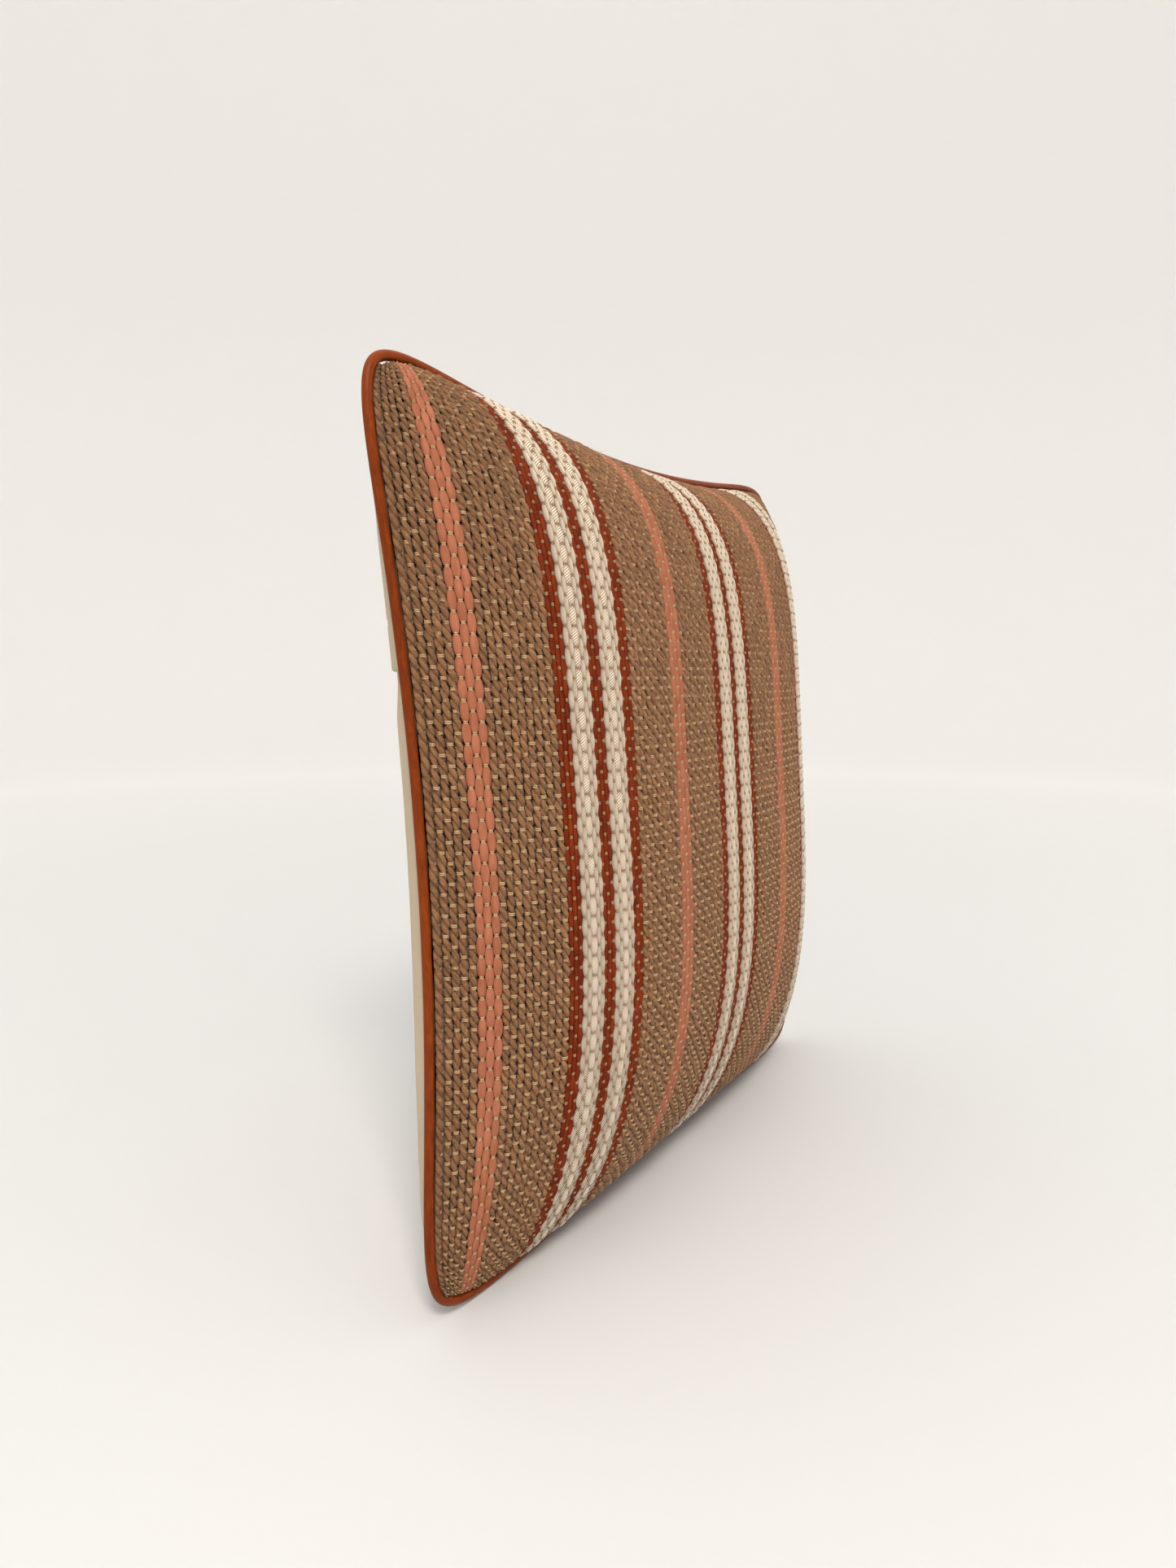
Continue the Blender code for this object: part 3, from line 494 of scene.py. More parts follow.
class Shader:
    """Adds and links nodes of one material; a socket given as a value is linked."""

    def __init__(self, name, roughness=0.8, **inputs):
        self.material = bpy.data.materials.new(name)
        self.material.use_nodes = True
        self.tree = self.material.node_tree
        self.surface = self.tree.nodes["Principled BSDF"]
        self.set(self.surface, Roughness=roughness, **inputs)

    def join(self, socket, value):
        if isinstance(value, bpy.types.NodeSocket):
            self.tree.links.new(value, socket)
        else:
            socket.default_value = value

    def set(self, node, **inputs):
        for key, value in inputs.items():
            self.join(node.inputs[key.replace("_", " ")], value)

    def add(self, kind, settings=None, **inputs):
        node = self.tree.nodes.new("ShaderNode" + kind)
        for key, value in (settings or {}).items():
            setattr(node, key, value)
        self.set(node, **inputs)
        return node

    def attribute(self, name, output="Vector"):
        return self.add("Attribute", {"attribute_name": name}).outputs[output]

    def scaled(self, vector, scale):
        node = self.add("VectorMath", {"operation": "MULTIPLY"})
        self.tree.links.new(vector, node.inputs[0])
        node.inputs[1].default_value = scale
        return node.outputs[0]

    def noise(self, vector, scale, detail=2.0, rough=0.5):
        return self.add("TexNoise", Vector=vector, Scale=scale, Detail=detail,
                        Roughness=rough).outputs["Fac"]

    def math(self, operation, a, b=0.0, c=0.0):
        node = self.add("Math", {"operation": operation})
        for socket, value in zip(node.inputs, (a, b, c)):
            self.join(socket, value)
        return node.outputs[0]

    def ramp(self, factor, stops):
        node = self.add("ValToRGB", Fac=factor)
        elements = node.color_ramp.elements
        while len(elements) < len(stops):
            elements.new(0.5)
        for element, (place, colour) in zip(elements, stops):
            element.position = place
            element.color = (*colour, 1.0)
        return node.outputs["Color"]

    def mix(self, factor, a, b, blend="MIX"):
        node = self.add("MixRGB", {"blend_type": blend}, Fac=factor)
        for socket, value in zip(node.inputs[1:], (a, b)):
            self.join(socket, (*value, 1.0) if isinstance(value, tuple) else value)
        return node.outputs["Color"]

    def bump(self, height, distance, strength=1.0):
        node = self.add("Bump", Height=height, Distance=distance, Strength=strength)
        return node.outputs["Normal"]


def jute_material():
    s = Shader("jute", 0.80, Sheen_Weight=0.10, Sheen_Roughness=0.5)
    lay = s.attribute("lay")
    fibres = s.noise(s.scaled(lay, (7.0, 0.70, 1.0)), 1.0, 4.0, 0.65)
    strands = s.noise(s.scaled(lay, (2.4, 0.35, 1.0)), 1.0, 2.0)
    tone = s.attribute("tone", "Fac")
    mixed = s.math("MULTIPLY_ADD", fibres, 1.90, s.math("MULTIPLY", tone, 0.03))
    mixed = s.math("MULTIPLY_ADD", strands, 0.52, s.math("SUBTRACT", mixed, 0.72))
    colour = s.ramp(mixed, [(0.10, (0.070, 0.026, 0.007)), (0.38, (0.225, 0.089, 0.028)),
                            (0.60, (0.390, 0.176, 0.062)), (0.88, (0.76, 0.42, 0.170))])
    specks = s.noise(s.scaled(lay, (0.8, 0.40, 1.0)), 1.0, 3.0, 0.7)
    speck = s.ramp(specks, [(0.69, (0.0, 0.0, 0.0)), (0.75, (1.0, 1.0, 1.0))])
    colour = s.mix(speck, colour, (0.060, 0.024, 0.009))
    # Painted shade: the jute is darkened in the valleys between its plies and at its pinched
    # ties
    yarn_shade_mask = s.attribute("yarn_shade_mask", "Fac")
    shade = s.ramp(yarn_shade_mask, [(0.0, (0.40, 0.32, 0.26)), (0.50, (1.0, 1.0, 1.0))])
    s.set(s.surface, Base_Color=s.mix(1.0, colour, shade, "MULTIPLY"),
          Normal=s.bump(fibres, 0.60 * MM, 1.0))
    return s.material


def leather_material(name, dark, light, roughness, grain_scale, edge=None):
    s = Shader(name, roughness, Specular_IOR_Level=0.12)
    lay = s.attribute("lay")
    cloudy = s.noise(s.scaled(lay, (0.35, 0.10, 1.0)), 1.0, 3.0, 0.6)
    tone = s.attribute("tone", "Fac")
    colour = s.ramp(s.math("MULTIPLY_ADD", tone, 0.05, cloudy),
                    [(0.30, dark), (0.68, light)])
    if edge:
        yarn_shade_mask = s.attribute("yarn_shade_mask", "Fac")
        colour = s.mix(s.ramp(yarn_shade_mask, [(0.05, (1, 1, 1)), (0.22, (0, 0, 0))]), colour, edge)
    cells = s.add("TexVoronoi", {"feature": "DISTANCE_TO_EDGE"},
                  Vector=lay, Scale=grain_scale)
    grain = s.noise(lay, grain_scale * 1.7, 3.0)
    relief = s.math("MULTIPLY_ADD", cells.outputs["Distance"], 1.2, grain)
    rough = s.math("MULTIPLY_ADD", grain, 0.22, roughness - 0.10)
    s.set(s.surface, Base_Color=colour, Roughness=rough, Normal=s.bump(relief, 0.07 * MM, 0.7))
    return s.material


def cotton_material(name, dark, light):
    s = Shader(name, 0.9, Sheen_Weight=0.25, Sheen_Roughness=0.5)
    lay = s.attribute("lay")
    fibres = s.noise(s.scaled(lay, (6.0, 1.1, 1.0)), 1.0, 3.0, 0.6)
    colour = s.ramp(fibres, [(0.30, dark), (0.66, light)])
    # Painted shade: the cotton is darkened in the valleys between its plies and at its pinched
    # ties
    yarn_shade_mask = s.attribute("yarn_shade_mask", "Fac")
    shade = s.ramp(yarn_shade_mask, [(0.0, (0.20, 0.125, 0.07)), (0.62, (1.0, 1.0, 1.0))])
    s.set(s.surface, Base_Color=s.mix(1.0, colour, shade, "MULTIPLY"),
          Normal=s.bump(fibres, 0.20 * MM, 0.8))
    return s.material


def tie_material(name, dark, light):
    s = Shader(name, 0.9, Sheen_Weight=0.2)
    lay = s.attribute("lay")
    fibres = s.noise(s.scaled(lay, (4.0, 1.6, 1.0)), 1.0, 2.0)
    s.set(s.surface, Base_Color=s.ramp(fibres, [(0.30, dark), (0.70, light)]),
          Normal=s.bump(fibres, 0.15 * MM, 0.8))
    return s.material


def woven_material(name, dark, light, threads_per_mm, roughness=0.9, crease=0.10):
    """Plain weave drawn from the cloth's own millimetres, over and under by turns."""
    s = Shader(name, roughness, Sheen_Weight=0.2, Sheen_Roughness=0.5)
    lay = s.attribute("lay")
    axes = s.add("SeparateXYZ", Vector=lay)
    turn = math.pi * threads_per_mm
    across = s.math("SINE", s.math("MULTIPLY", axes.outputs["X"], turn))
    along = s.math("SINE", s.math("MULTIPLY", axes.outputs["Y"], turn))
    over = s.math("MULTIPLY", across, along)
    warp = s.math("MULTIPLY", s.math("ABSOLUTE", across), s.math("ADD", 0.6, over))
    weft = s.math("MULTIPLY", s.math("ABSOLUTE", along), s.math("SUBTRACT", 0.6, over))
    weave = s.math("MAXIMUM", warp, weft)
    slub = s.noise(s.scaled(lay, (0.35, 2.2, 1.0)), 1.0, 3.0)
    slub_2 = s.noise(s.scaled(lay, (2.2, 0.35, 1.0)), 1.0, 3.0)
    mixed = s.math("ADD", s.math("MULTIPLY", weave, 0.30),
                   s.math("MULTIPLY", s.math("ADD", slub, slub_2), 0.42))
    broad = s.noise(lay, 0.02, 3.0)
    colour = s.ramp(mixed, [(0.30, dark), (0.72, light)])
    colour = s.mix(crease, colour, s.ramp(broad, [(0.35, dark), (0.65, light)]))
    s.set(s.surface, Base_Color=colour, Normal=s.bump(weave, 0.16 * MM, 0.6))
    return s.material


def plain_material(name, dark, light, roughness, scale, distance, **inputs):
    """For parts that keep their CAD shape: tone and relief from object coordinates."""
    s = Shader(name, roughness, **inputs)
    place = s.add("TexCoord").outputs["Object"]
    cloudy = s.noise(place, scale, 4.0)
    s.set(s.surface, Base_Color=s.ramp(cloudy, [(0.3, dark), (0.7, light)]),
          Normal=s.bump(s.noise(place, scale * 4.0, 3.0), distance, 0.5))
    return s.material


MATERIALS = {
    "jute": jute_material(),
    "pink_leather": leather_material("pink_leather", (0.28, 0.093, 0.048),
                                     (0.385, 0.140, 0.078), 0.62, 3.0),
    "rust_leather": leather_material("rust_leather", (0.100, 0.010, 0.0006),
                                     (0.195, 0.025, 0.0012), 0.60, 3.2),
    "cotton": cotton_material("cotton", (0.76, 0.63, 0.49), (0.97, 0.87, 0.73)),
    "ties": tie_material("ties", (0.31, 0.185, 0.085), (0.60, 0.40, 0.21)),
    # A darker copy of the tie threads: painted shade, for the ties on the cotton and rust
    "ties_painted_shade": tie_material("ties_painted_shade", (0.26, 0.145, 0.065), (0.44, 0.275, 0.14)),
    "welt_leather": leather_material("welt_leather", (0.13, 0.019, 0.0010),
                                     (0.22, 0.038, 0.0025), 0.36, 2.0),
    "canvas": woven_material("canvas", (0.37, 0.275, 0.165), (0.58, 0.460, 0.315), 2.2),
    # The lining is the backing cloth's brown, darkened further as painted shade for where it
    # shows between the yarn columns
    "backing": woven_material("backing", (0.12, 0.06, 0.025), (0.22, 0.12, 0.05), 1.6),
    "insert_casing": woven_material("insert_casing", (0.70, 0.67, 0.62),
                                    (0.84, 0.82, 0.78), 3.0),
    "hair": tie_material("hair", (0.30, 0.17, 0.07), (0.70, 0.48, 0.25)),
    "thread": tie_material("thread", (0.55, 0.46, 0.34), (0.78, 0.70, 0.58)),
    "welt_cord": plain_material("welt_cord", (0.62, 0.57, 0.48), (0.80, 0.76, 0.68), 0.95,
                                900.0, 0.3 * MM),
    "zipper_tape": plain_material("zipper_tape", (0.36, 0.28, 0.19), (0.52, 0.43, 0.32),
                                  0.9, 1400.0, 0.15 * MM),
    "zipper_coil": plain_material("zipper_coil", (0.42, 0.33, 0.23), (0.56, 0.47, 0.36),
                                  0.45, 700.0, 0.05 * MM),
    "zipper_metal": plain_material("zipper_metal", (0.30, 0.22, 0.11), (0.52, 0.40, 0.22),
                                   0.34, 500.0, 0.02 * MM, Metallic=1.0),
    "fill": plain_material("fill", (0.80, 0.78, 0.73), (0.92, 0.91, 0.88), 1.0, 160.0,
                           2.0 * MM, Sheen_Weight=0.3),
}

build_bands(column_layout())


# ---------------------------------------------------------------- panels of cloth
def slab(name, cover, u_cuts, v_cuts, outer, inner, material, lift=0.0):
    """A closed sheet of cloth between two depths, wrapped over one face of the cover."""
    u, v = np.meshgrid(u_cuts, v_cuts, indexing="ij")
    skins = [cover.place(u, v, lift - np.broadcast_to(depth, u.shape))
             for depth in (outer, inner)]
    points = np.concatenate([skin.reshape(-1, 3) for skin in skins])
    rows, columns = u.shape
    index = np.arange(rows * columns).reshape(rows, columns)
    quads = grid_quads(index)
    rim = np.concatenate([index[:-1, 0], index[-1, :-1], index[:0:-1, -1], index[0, :0:-1]])
    after = np.roll(rim, -1)
    far = rows * columns
    walls = np.stack([rim, rim + far, after + far, after], axis=-1)
    faces = np.concatenate([quads, quads[:, ::-1] + far, walls])
    if cover.side > 0:
        faces = faces[:, ::-1]
    steps_u = np.linalg.norm(np.diff(skins[0], axis=0), axis=-1).mean(axis=1)
    steps_v = np.linalg.norm(np.diff(skins[0], axis=1), axis=-1).mean(axis=0)
    across = np.concatenate(([0.0], np.cumsum(steps_u))) / MM
    along = np.concatenate(([0.0], np.cumsum(steps_v))) / MM
    lay = lay_of(u.shape, across[:, None], along[None, :], 0.0)
    lay = np.concatenate([lay.reshape(-1, 3)] * 2)
    area = 0.0
    for corner in (0, 2):
        a, b, c = (skins[0].reshape(-1, 3)[quads[:, k]] for k in (corner, 1, 3))
        area += 0.5 * np.linalg.norm(np.cross(b - a, c - a), axis=1).sum()
    piece = make_object(name, points, [faces], {"lay": lay}, material)
    return piece, float(across[-1] * MM), float(area)


def dense_cuts(low, high, count):
    """Cuts that crowd towards both ends."""
    turn = np.linspace(-0.5 * math.pi, 0.5 * math.pi, count)
    even = np.linspace(low, high, count)
    crowded = 0.5 * (low + high) + 0.5 * (high - low) * np.sin(turn)
    return 0.5 * even + 0.5 * crowded


def seam_groove(u, v):
    """How far the cloth dives into the stitched seam, in the last millimetres."""
    near = smoothstep((np.maximum(np.abs(u), np.abs(v)) - 0.978) / 0.022)
    return SEAM_GROOVE * near


def puckers(u, v):
    """Small gathers that run in from the seam, strongest at the corners."""
    edge_u, edge_v = 1.0 - np.abs(u), 1.0 - np.abs(v)
    corner = np.exp(-((edge_u ** 2 + edge_v ** 2) / 0.10))
    waves = np.sin(41.0 * v + 2.0 * np.sin(9.0 * v)) * np.exp(-edge_u / 0.055)
    waves = waves + np.sin(37.0 * u + 2.4 * np.sin(7.0 * u)) * np.exp(-edge_v / 0.055)
    fan = np.sin(26.0 * (np.abs(u) - np.abs(v)) + 1.5) * corner
    return PUCKER * (waves * (0.45 + corner) + 0.9 * fan)


def v_of_height(z):
    """Cloth coordinate of a height on the back, on the middle line."""
    line = np.linspace(-0.9, 0.9, 721)
    heights = cover_surface(np.zeros(721), line, 1)[:, 2]
    return float(np.interp(z, heights, line))


def build_lining():
    u_cuts, v_cuts = dense_cuts(-0.995, 0.995, 90), dense_cuts(-0.995, 0.995, 90)
    u, v = np.meshgrid(u_cuts, v_cuts, indexing="ij")
    depth = 4.3 * MM - 3.4 * MM * smoothstep((np.maximum(np.abs(u), np.abs(v)) - 0.97) / 0.025)
    # Its dark colour is partly the backing cloth's own and partly painted shade for the gaps
    # between the yarn columns
    piece, width, area = slab("front_lining", front, u_cuts, v_cuts, depth,
                              depth + 0.7 * MM, MATERIALS["backing"])
    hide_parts("front_backing")


def build_canvas():
    fold, stitch = v_of_height(FOLD_Z), v_of_height(STITCH_Z)
    hem = HALF_FOLD
    metres_per_v = (STITCH_Z - FOLD_Z) / (stitch - fold)
    turn = np.linspace(0.0, 1.0, 7)
    hem_cuts = fold + hem / metres_per_v * (1.0 - np.cos(0.5 * math.pi * turn))
    v_cuts = np.concatenate([hem_cuts[:-1], np.linspace(hem_cuts[-1], 0.60, 34)[:-1],
                             dense_cuts(0.60, 1.0, 44)])
    u_cuts = dense_cuts(-1.0, 1.0, 150)
    u, v = np.meshgrid(u_cuts, v_cuts, indexing="ij")
    half_hem = hem * np.sin(0.5 * math.pi * np.clip((v - fold) / (hem / metres_per_v), 0, 1))
    doubled = 1.0 - smoothstep((v - stitch) / 0.012)
    middle = HALF_CANVAS + (hem - HALF_CANVAS) * doubled
    half_cloth = middle * half_hem / hem
    wavy = 0.35 * MM * np.sin(31.0 * u + 3.0 * np.sin(5.0 * u)) \
        * np.exp(-((v - fold) / 0.05) ** 2) * (1.0 - np.abs(u) ** 6)
    dent = 0.55 * MM * np.exp(-((v - stitch) / 0.006) ** 2)
    lift = puckers(u, v) - seam_groove(u, v) + wavy - dent
    piece, width, area = slab("back_canvas_upper", back, u_cuts, v_cuts,
                              middle - half_cloth, middle + half_cloth,
                              MATERIALS["canvas"], lift)
    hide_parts("back_panel_upper")

    under = v_of_height(FOLD_Z - 2 * MM)
    tuck_start, tuck_top = v_of_height(FOLD_Z - 26 * MM), v_of_height(TUCK_TOP_Z)
    v_cuts = np.concatenate([dense_cuts(-1.0, -0.35, 70)[:-1],
                             np.linspace(-0.35, tuck_start, 30)[:-1],
                             np.linspace(tuck_start, tuck_top, 26)])
    u, v = np.meshgrid(u_cuts, v_cuts, indexing="ij")
    step = FLAP_CLEAR * smoothstep((v - tuck_start) / (under - tuck_start))
    slope = np.clip((v - v_of_height(FOLD_Z + 1.2 * MM))
                    / (tuck_top - v_of_height(FOLD_Z + 1.2 * MM)), 0, 1)
    depth = step + (TUCK_DEPTH - FLAP_CLEAR) * slope
    lift = puckers(u, v) - seam_groove(u, v)
    lift = lift * (1.0 - smoothstep((v - tuck_start) / (under - tuck_start)))
    piece, width, area = slab("back_canvas_lower", back, u_cuts, v_cuts, depth,
                              depth + 2 * HALF_CANVAS, MATERIALS["canvas"], lift)
    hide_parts("back_panel_lower")
    build_topstitch(stitch)


def build_topstitch(row):
    """Thread stitches along the flap, one short arch each."""
    middles = np.arange(-0.93, 0.93, STITCH_STEP)
    rise = np.linspace(-1.0, 1.0, 7)
    sides = np.arange(6) / 6 * 2 * math.pi
    u = (middles[:, None] + STITCH_HALF * rise[None, :])[:, :, None] + 0.0 * sides
    arch = 0.30 * MM * np.sqrt(np.clip(1.0 - rise ** 4, 0.0, 1.0)) - 0.62 * MM
    thick = STITCH_RADIUS * (0.35 + 0.65 * np.sqrt(1.0 - rise ** 2 * 0.98))
    v = row + (thick[:, None] * np.cos(sides)[None, :]) / 0.25
    height = arch[:, None] + thick[:, None] * np.sin(sides)[None, :]
    points = back.place(u, np.broadcast_to(v, u.shape), np.broadcast_to(height, u.shape))
    lay = lay_of(u.shape, sides, u * 230.0, 0.0)
    make_object("flap_topstitch", points.reshape(-1, 3),
                tube_faces(len(middles), len(rise), len(sides)), {"lay": lay.reshape(-1, 3)},
                MATERIALS["thread"])


# ---------------------------------------------------------------- welt and inside
WELT_CUTS = 180                           # rings along each side
WELT_SIDES = 20
WELT_GAP = 0.05 * MM


def build_welt():
    """Leather wrapped round its cord, drawn in a little at each stitch of the seam."""
    cuts = np.linspace(-1.0, 1.0, WELT_CUTS + 1)[:-1]
    ones = np.ones_like(cuts)
    gu = np.concatenate([cuts, ones, -cuts, -ones])
    gv = np.concatenate([-ones, cuts, ones, -cuts])
    x, z = outline(gu, gv)
    run = np.stack([np.roll(x, -1) - np.roll(x, 1), np.roll(z, -1) - np.roll(z, 1)], axis=-1)
    run /= np.linalg.norm(run, axis=-1, keepdims=True)
    outward = np.stack([run[:, 1], 0.0 * x, -run[:, 0]], axis=-1)
    steps = np.hypot(np.diff(x, append=x[0]), np.diff(z, append=z[0]))
    along = np.concatenate(([0.0], np.cumsum(steps)[:-1])) / MM
    offset = WELT_RADIUS + WELT_GAP
    centre = np.stack([x, 0.0 * x, z], axis=-1) + outward * offset
    centre[:, 1] = WELT_Y + seam_plane_y(centre[:, 2])
    sides = np.arange(WELT_SIDES) / WELT_SIDES * 2 * math.pi
    tucked = 0.5 - 0.5 * np.cos(sides)[None, :]
    ripple = 0.025 * np.sin(along * 2.1 + 1.3 * np.sin(along * 0.37))[:, None] * tucked ** 2
    broad = 0.018 * np.sin(along * 0.045 + 2.0 * np.sin(along * 0.013))[:, None]
    radius = WELT_RADIUS * (1.0 + ripple + broad)
    points = centre[:, None, :] + radius[:, :, None] * (
        outward[:, None, :] * np.cos(sides)[None, :, None]
        + np.array([0.0, 1.0, 0.0]) * np.sin(sides)[None, :, None])
    points[:, :, 2] = np.maximum(points[:, :, 2], WELT_GAP)
    index = np.arange(radius.size).reshape(radius.shape)
    quads = grid_quads(np.pad(index, ((0, 1), (0, 1)), mode="wrap"))
    lay = lay_of(radius.shape, sides * 2.9, along[:, None], 0.0)
    tone = np.repeat(np.sin(along * 0.021) * 1.5, WELT_SIDES)
    piece = make_object("leather_welt_cover", points.reshape(-1, 3), [quads[:, ::-1]],
                        {"lay": lay.reshape(-1, 3), "tone": tone},
                        MATERIALS["welt_leather"])
    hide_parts("leather_welt")


def soft_copy(name, node, levels, size, height, material):
    """A smoother, slightly lumpy cloth piece in place of a soft CAD solid."""
    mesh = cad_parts[node].data.copy()
    mesh.name = name
    made = bpy.data.objects.new(name, mesh)
    bpy.context.scene.collection.objects.link(made)
    bm = bmesh.new()
    bm.from_mesh(mesh)
    bmesh.ops.remove_doubles(bm, verts=bm.verts[:], dist=1e-5)
    for _ in range(levels):
        bmesh.ops.subdivide_edges(bm, edges=bm.edges[:], cuts=1, use_grid_fill=True)
    bmesh.ops.smooth_vert(bm, verts=bm.verts[:], factor=0.5, use_axis_x=True,
                          use_axis_y=True, use_axis_z=True)
    bm.normal_update()
    for vert in bm.verts:
        place = vert.co / size
        lump = math.sin(place.x) * math.sin(place.y + 1.0) * math.sin(place.z + 0.5 * place.x)
        vert.co += vert.normal * height * lump
    bm.to_mesh(mesh)
    bm.free()
    lay = mesh.attributes.new("lay", "FLOAT_VECTOR", "POINT")
    for vert, item in zip(mesh.vertices, lay.data):
        item.vector = (vert.co.x / MM, vert.co.z / MM, 0.0)
    mesh.shade_smooth()
    mesh.materials.clear()
    mesh.materials.append(material)
    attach(made, "pillow")
    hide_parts(node)
    return made


# The back is simulated as cloth held at the seam, cut a little large and blown up.
SETTLE_CUTS = 81
SETTLE_FRAMES = 16
SETTLE_PRESSURE = 1.2
SETTLE_GROWTH = 0.004
SETTLE_RANGE = (-0.4 * MM, 3.0 * MM)      # the filling lets it sink in or stand out so far
SIDE_FULLNESS = 2.2 * MM                  # the filling also pushes it out beside the welt


def settling_cloth(cover, u, v):
    """A grid laid on the cover, with a cloth modifier and held along its rim."""
    points = cover.place(u, v, np.zeros(u.shape)).reshape(-1, 3)
    index = np.arange(u.size).reshape(u.shape)
    quads = np.roll(grid_quads(index)[:, ::-1], 1, axis=1)
    mesh = bpy.data.meshes.new("settling_cloth")
    mesh.from_pydata(points.tolist(), [], quads.tolist())
    body = bpy.data.objects.new("settling_cloth", mesh)
    bpy.context.scene.collection.objects.link(body)
    held = body.vertex_groups.new(name="held")
    rim = np.nonzero(np.maximum(np.abs(u), np.abs(v)).ravel() > 0.999)[0]
    held.add(rim.tolist(), 1.0, "REPLACE")
    cloth = body.modifiers.new("cloth", "CLOTH")
    cloth.settings.quality = 4
    cloth.settings.mass = 0.2
    cloth.settings.vertex_group_mass = held.name
    cloth.settings.use_pressure = True
    cloth.settings.uniform_pressure_force = SETTLE_PRESSURE
    cloth.settings.shrink_min = -SETTLE_GROWTH
    cloth.settings.effector_weights.gravity = 0.0
    cloth.collision_settings.use_collision = False
    return body, points


def settle_back():
    """Adds the simulated unevenness to the back, except at the zipper and the floor."""
    cuts = np.linspace(-1.0, 1.0, SETTLE_CUTS)
    u, v = np.meshgrid(cuts, cuts, indexing="ij")
    body, start = settling_cloth(back, u, v)
    scene = bpy.context.scene
    for step in range(1, SETTLE_FRAMES + 1):
        scene.frame_set(step)
    settled = body.evaluated_get(bpy.context.evaluated_depsgraph_get()).to_mesh()
    points = np.empty(start.size, dtype=np.float32)
    settled.vertices.foreach_get("co", points)
    scene.frame_set(1)
    bpy.data.objects.remove(body, do_unlink=True)
    moved = (points.reshape(start.shape) - start).reshape(*u.shape, 3)
    height = np.sum(moved * back.read(back.normals, u, v), axis=-1)
    for _ in range(2):                    # evens out the jagged rows beside the rim
        for axis in (0, 1):
            around = np.roll(height, 1, axis) + np.roll(height, -1, axis)
            height = 0.5 * height + 0.25 * around
    grid_cuts = np.linspace(-1.0, 1.0, GRID)
    height = np.stack([np.interp(grid_cuts, cuts, row) for row in height])
    height = np.stack([np.interp(grid_cuts, cuts, row) for row in height.T]).T
    x, z = back.points[..., 0], back.points[..., 2]
    start_x, end_x = ZIP_BLEND_X
    zipper = np.exp(-((z - ZIP_Z) / (1.3 * ZIP_BLEND_Z)) ** 4)
    zipper *= 1.0 - smoothstep((np.abs(x) - start_x) / (end_x - start_x))
    rim = 1.0 - smoothstep((np.maximum(np.abs(back.u), np.abs(back.v)) - 0.95) / 0.05)
    off_floor = smoothstep((z - 6 * MM) / (24 * MM))
    full = smoothstep((np.abs(back.u) - 0.72) / 0.14) \
        * (1.0 - smoothstep((np.abs(back.u) - 0.92) / 0.08)) * (1.0 - np.abs(back.v) ** 4)
    height = np.clip(height, *SETTLE_RANGE) * rim * (1.0 - zipper) + SIDE_FULLNESS * full
    back.points += back.normals * (height * off_floor)[..., None]
    back.refresh()


def build_inside():
    for side in ("front", "back"):
        node = f"insert_casing_{side}"
        casing = soft_copy(node + "_cloth", node, 1, 11 * MM, 0.15 * MM,
                           MATERIALS["insert_casing"])
    filling = soft_copy("fill_clusters", "fill_core", 2, 9 * MM, 0.5 * MM,
                        MATERIALS["fill"])


def finish_cad_parts():
    """Better materials for the parts whose CAD shape is kept."""
    for name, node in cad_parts.items():
        for key in ("welt_cord", "zipper_tape", "zipper_coil"):
            if name.startswith(key):
                break
        else:
            if not name.startswith("zipper"):
                continue
            key = "zipper_metal"
        for item in node.material_slots:
            item.material = MATERIALS[key]


def build_fuzz(layout, count=3200):
    """Loose fibres that stand off the jute, each a thin curved hair."""
    jute = [column for column in layout if column["kind"] == "jute"]
    picks = rng.integers(0, len(jute), count)
    u = np.array([jute[k]["u"] for k in picks])
    half = np.array([jute[k]["half"] for k in picks])
    u = u + half * rng.uniform(-0.8, 0.8, count)
    v = rng.uniform(-0.97, 0.97, count)
    root = front.place(u, v, np.full(count, -0.15 * MM))
    normal = front.read(front.normals, u, v)
    side = np.cross(normal, np.array([0.0, 0.0, 1.0]))
    side /= np.linalg.norm(side, axis=1, keepdims=True)
    up = np.cross(side, normal)
    turn = rng.uniform(0.0, 2 * math.pi, count)
    way = side * np.cos(turn)[:, None] + up * np.sin(turn)[:, None]
    bend = side * -np.sin(turn)[:, None] + up * np.cos(turn)[:, None]
    length = rng.gamma(3.0, HAIR_LENGTH, count)[:, None]
    rise = rng.uniform(0.10, 0.75, count)[:, None]
    curl = rng.normal(0.0, 0.45, count)[:, None]
    rings = []
    for t in (0.0, 0.35, 0.7, 1.0):
        middle = root + length * (way * t + normal * rise * math.sin(1.9 * t) * 0.6
                                  + bend * curl * t * t)
        radius = HAIR_RADIUS * (1.0 - 0.6 * t)
        ring = [middle + radius * (bend * math.cos(a) + normal * math.sin(a))
                for a in (0.0, 2.094, 4.189)]
        rings.append(np.stack(ring, axis=1))
    points = np.stack(rings, axis=1)
    lay = np.zeros(points.shape)
    lay[..., 2] = rng.uniform(0.0, 50.0, count)[:, None, None]
    make_object("jute_loose_fibres", points.reshape(-1, 3),
                tube_faces(count, len(rings), 3), {"lay": lay.reshape(-1, 3)},
                MATERIALS["hair"])


build_fuzz(column_layout())
build_lining()
settle_back()
build_canvas()
build_welt()
build_inside()
finish_cad_parts()

# ---------------------------------------------------------------- camera, floor, light
CAMERA_AT = (-0.5477, -0.3092, 0.3141)
CAMERA_YAW = 0.5699                       # radians from +X towards +Y
CAMERA_PITCH = 0.1176                     # radians below level
CAMERA_LENS = 29.8962                     # mm, on a sensor 36 mm wide


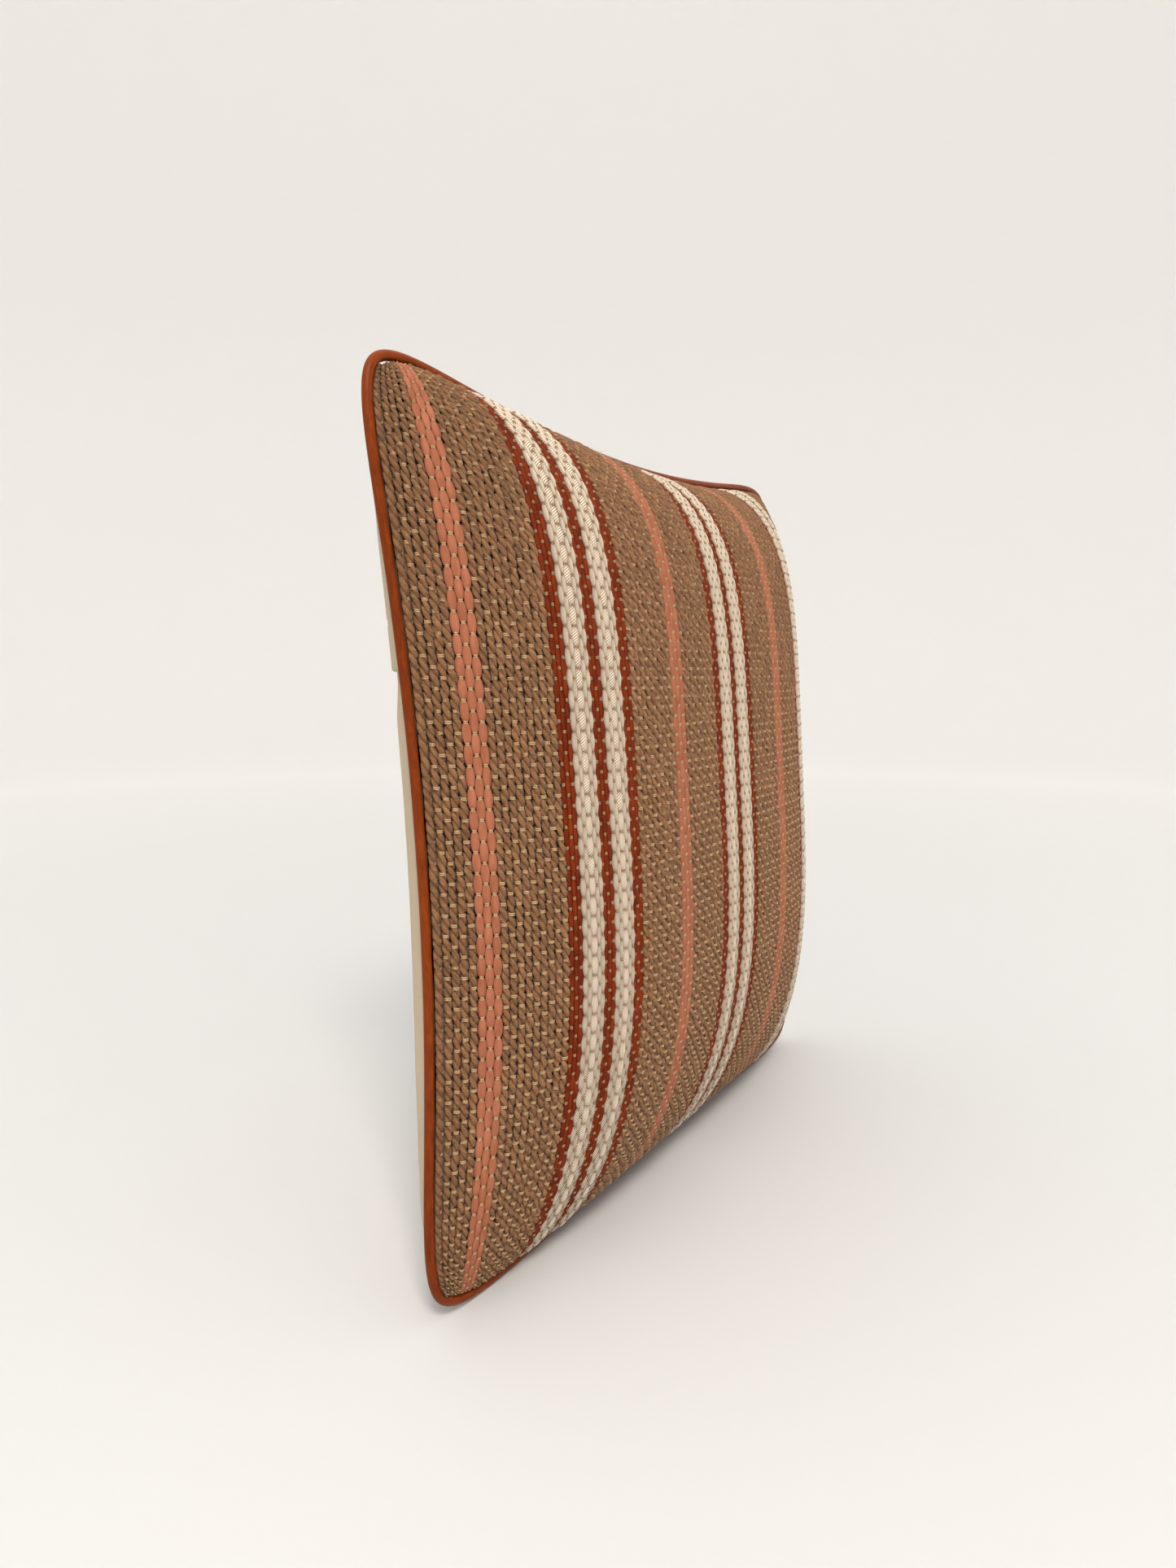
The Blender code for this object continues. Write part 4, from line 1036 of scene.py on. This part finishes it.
def build_camera():
    camera = bpy.data.objects.new("camera", bpy.data.cameras.new("camera"))
    camera.data.sensor_fit = "HORIZONTAL"
    camera.data.sensor_width = 36.0
    camera.data.lens = CAMERA_LENS
    camera.data.clip_start = 0.01
    camera.location = CAMERA_AT
    level = math.cos(CAMERA_PITCH)
    forward = Vector((math.cos(CAMERA_YAW) * level, math.sin(CAMERA_YAW) * level,
                      -math.sin(CAMERA_PITCH)))
    camera.rotation_euler = forward.to_track_quat("-Z", "Y").to_euler()
    bpy.context.scene.collection.objects.link(camera)
    bpy.context.scene.camera = camera


# The room, in metres: a flat floor, then a curve up to a wall.
COVE_START = 3.2
COVE_RADIUS = 2.6
COVE_TOP = 7.0
COVE_SIDES = 96
# The floor is painted darker near the pillow, painted shade that evens out the key light's
# pool there; a place is a quarter of the distance.
FLOOR_PAINT_AND_SHADE_STOPS = [(0.10, (0.65, 0.655, 0.665)), (0.60, (0.88, 0.868, 0.850))]


def build_studio():
    """A round cove: flat floor round the pillow that curves up far behind it."""
    radii = [0.0, 0.3, 0.6, 1.0, 1.6, 2.4, COVE_START]
    heights = [0.0] * len(radii)
    for k in range(1, 13):
        angle = 0.5 * math.pi * k / 12
        radii.append(COVE_START + COVE_RADIUS * math.sin(angle))
        heights.append(COVE_RADIUS * (1.0 - math.cos(angle)))
    radii.append(radii[-1])
    heights.append(COVE_TOP)
    around = np.linspace(0.0, 2 * math.pi, COVE_SIDES, endpoint=False)
    points = np.stack([np.outer(radii, np.cos(around)), np.outer(radii, np.sin(around)),
                       np.repeat(np.array(heights)[:, None], COVE_SIDES, axis=1)], axis=-1)
    mesh = bpy.data.meshes.new("studio_floor")
    index = np.arange(len(radii) * COVE_SIDES).reshape(-1, COVE_SIDES)
    quads = grid_quads(np.pad(index, ((0, 0), (0, 1)), mode="wrap"))
    mesh.from_pydata(points.reshape(-1, 3).tolist(), [], quads.tolist())
    mesh.shade_smooth()
    s = Shader("studio_paint", 0.95)
    away = s.add("VectorMath", {"operation": "LENGTH"},
                 Vector=s.add("TexCoord").outputs["Object"])
    paint = s.ramp(s.math("MULTIPLY", away.outputs["Value"], 0.25), FLOOR_PAINT_AND_SHADE_STOPS)
    s.set(s.surface, Base_Color=paint)
    mesh.materials.append(s.material)
    floor = bpy.data.objects.new("studio_floor", mesh)
    bpy.context.scene.collection.objects.link(floor)


SKY_COLOUR = (1.0, 0.988, 0.972, 1.0)
SKY_STRENGTH = 1.19
KEY_PLACE = (-1.35, -1.15, 1.9)           # high on the left, in front of the pillow
KEY_TARGET = (0.0, 0.0, 0.25)
KEY_SIZE = 0.55
KEY_POWER = 42
KEY_COLOUR = (1.0, 0.93, 0.82)


def add_light(name, place, target, size, power, colour):
    lamp = bpy.data.lights.new(name, "AREA")
    lamp.size = size
    lamp.energy = power
    lamp.color = colour
    made = bpy.data.objects.new(name, lamp)
    made.location = place
    made.rotation_euler = (Vector(target) - Vector(place)).to_track_quat("-Z", "Y").to_euler()
    bpy.context.scene.collection.objects.link(made)


def build_light():
    world = bpy.data.worlds.new("studio_world")
    world.use_nodes = True
    background = world.node_tree.nodes["Background"]
    background.inputs["Color"].default_value = SKY_COLOUR
    background.inputs["Strength"].default_value = SKY_STRENGTH
    bpy.context.scene.world = world
    add_light("key", KEY_PLACE, KEY_TARGET, KEY_SIZE, KEY_POWER, KEY_COLOUR)
    bpy.context.scene.view_settings.view_transform = "Standard"


build_camera()
build_studio()
build_light()
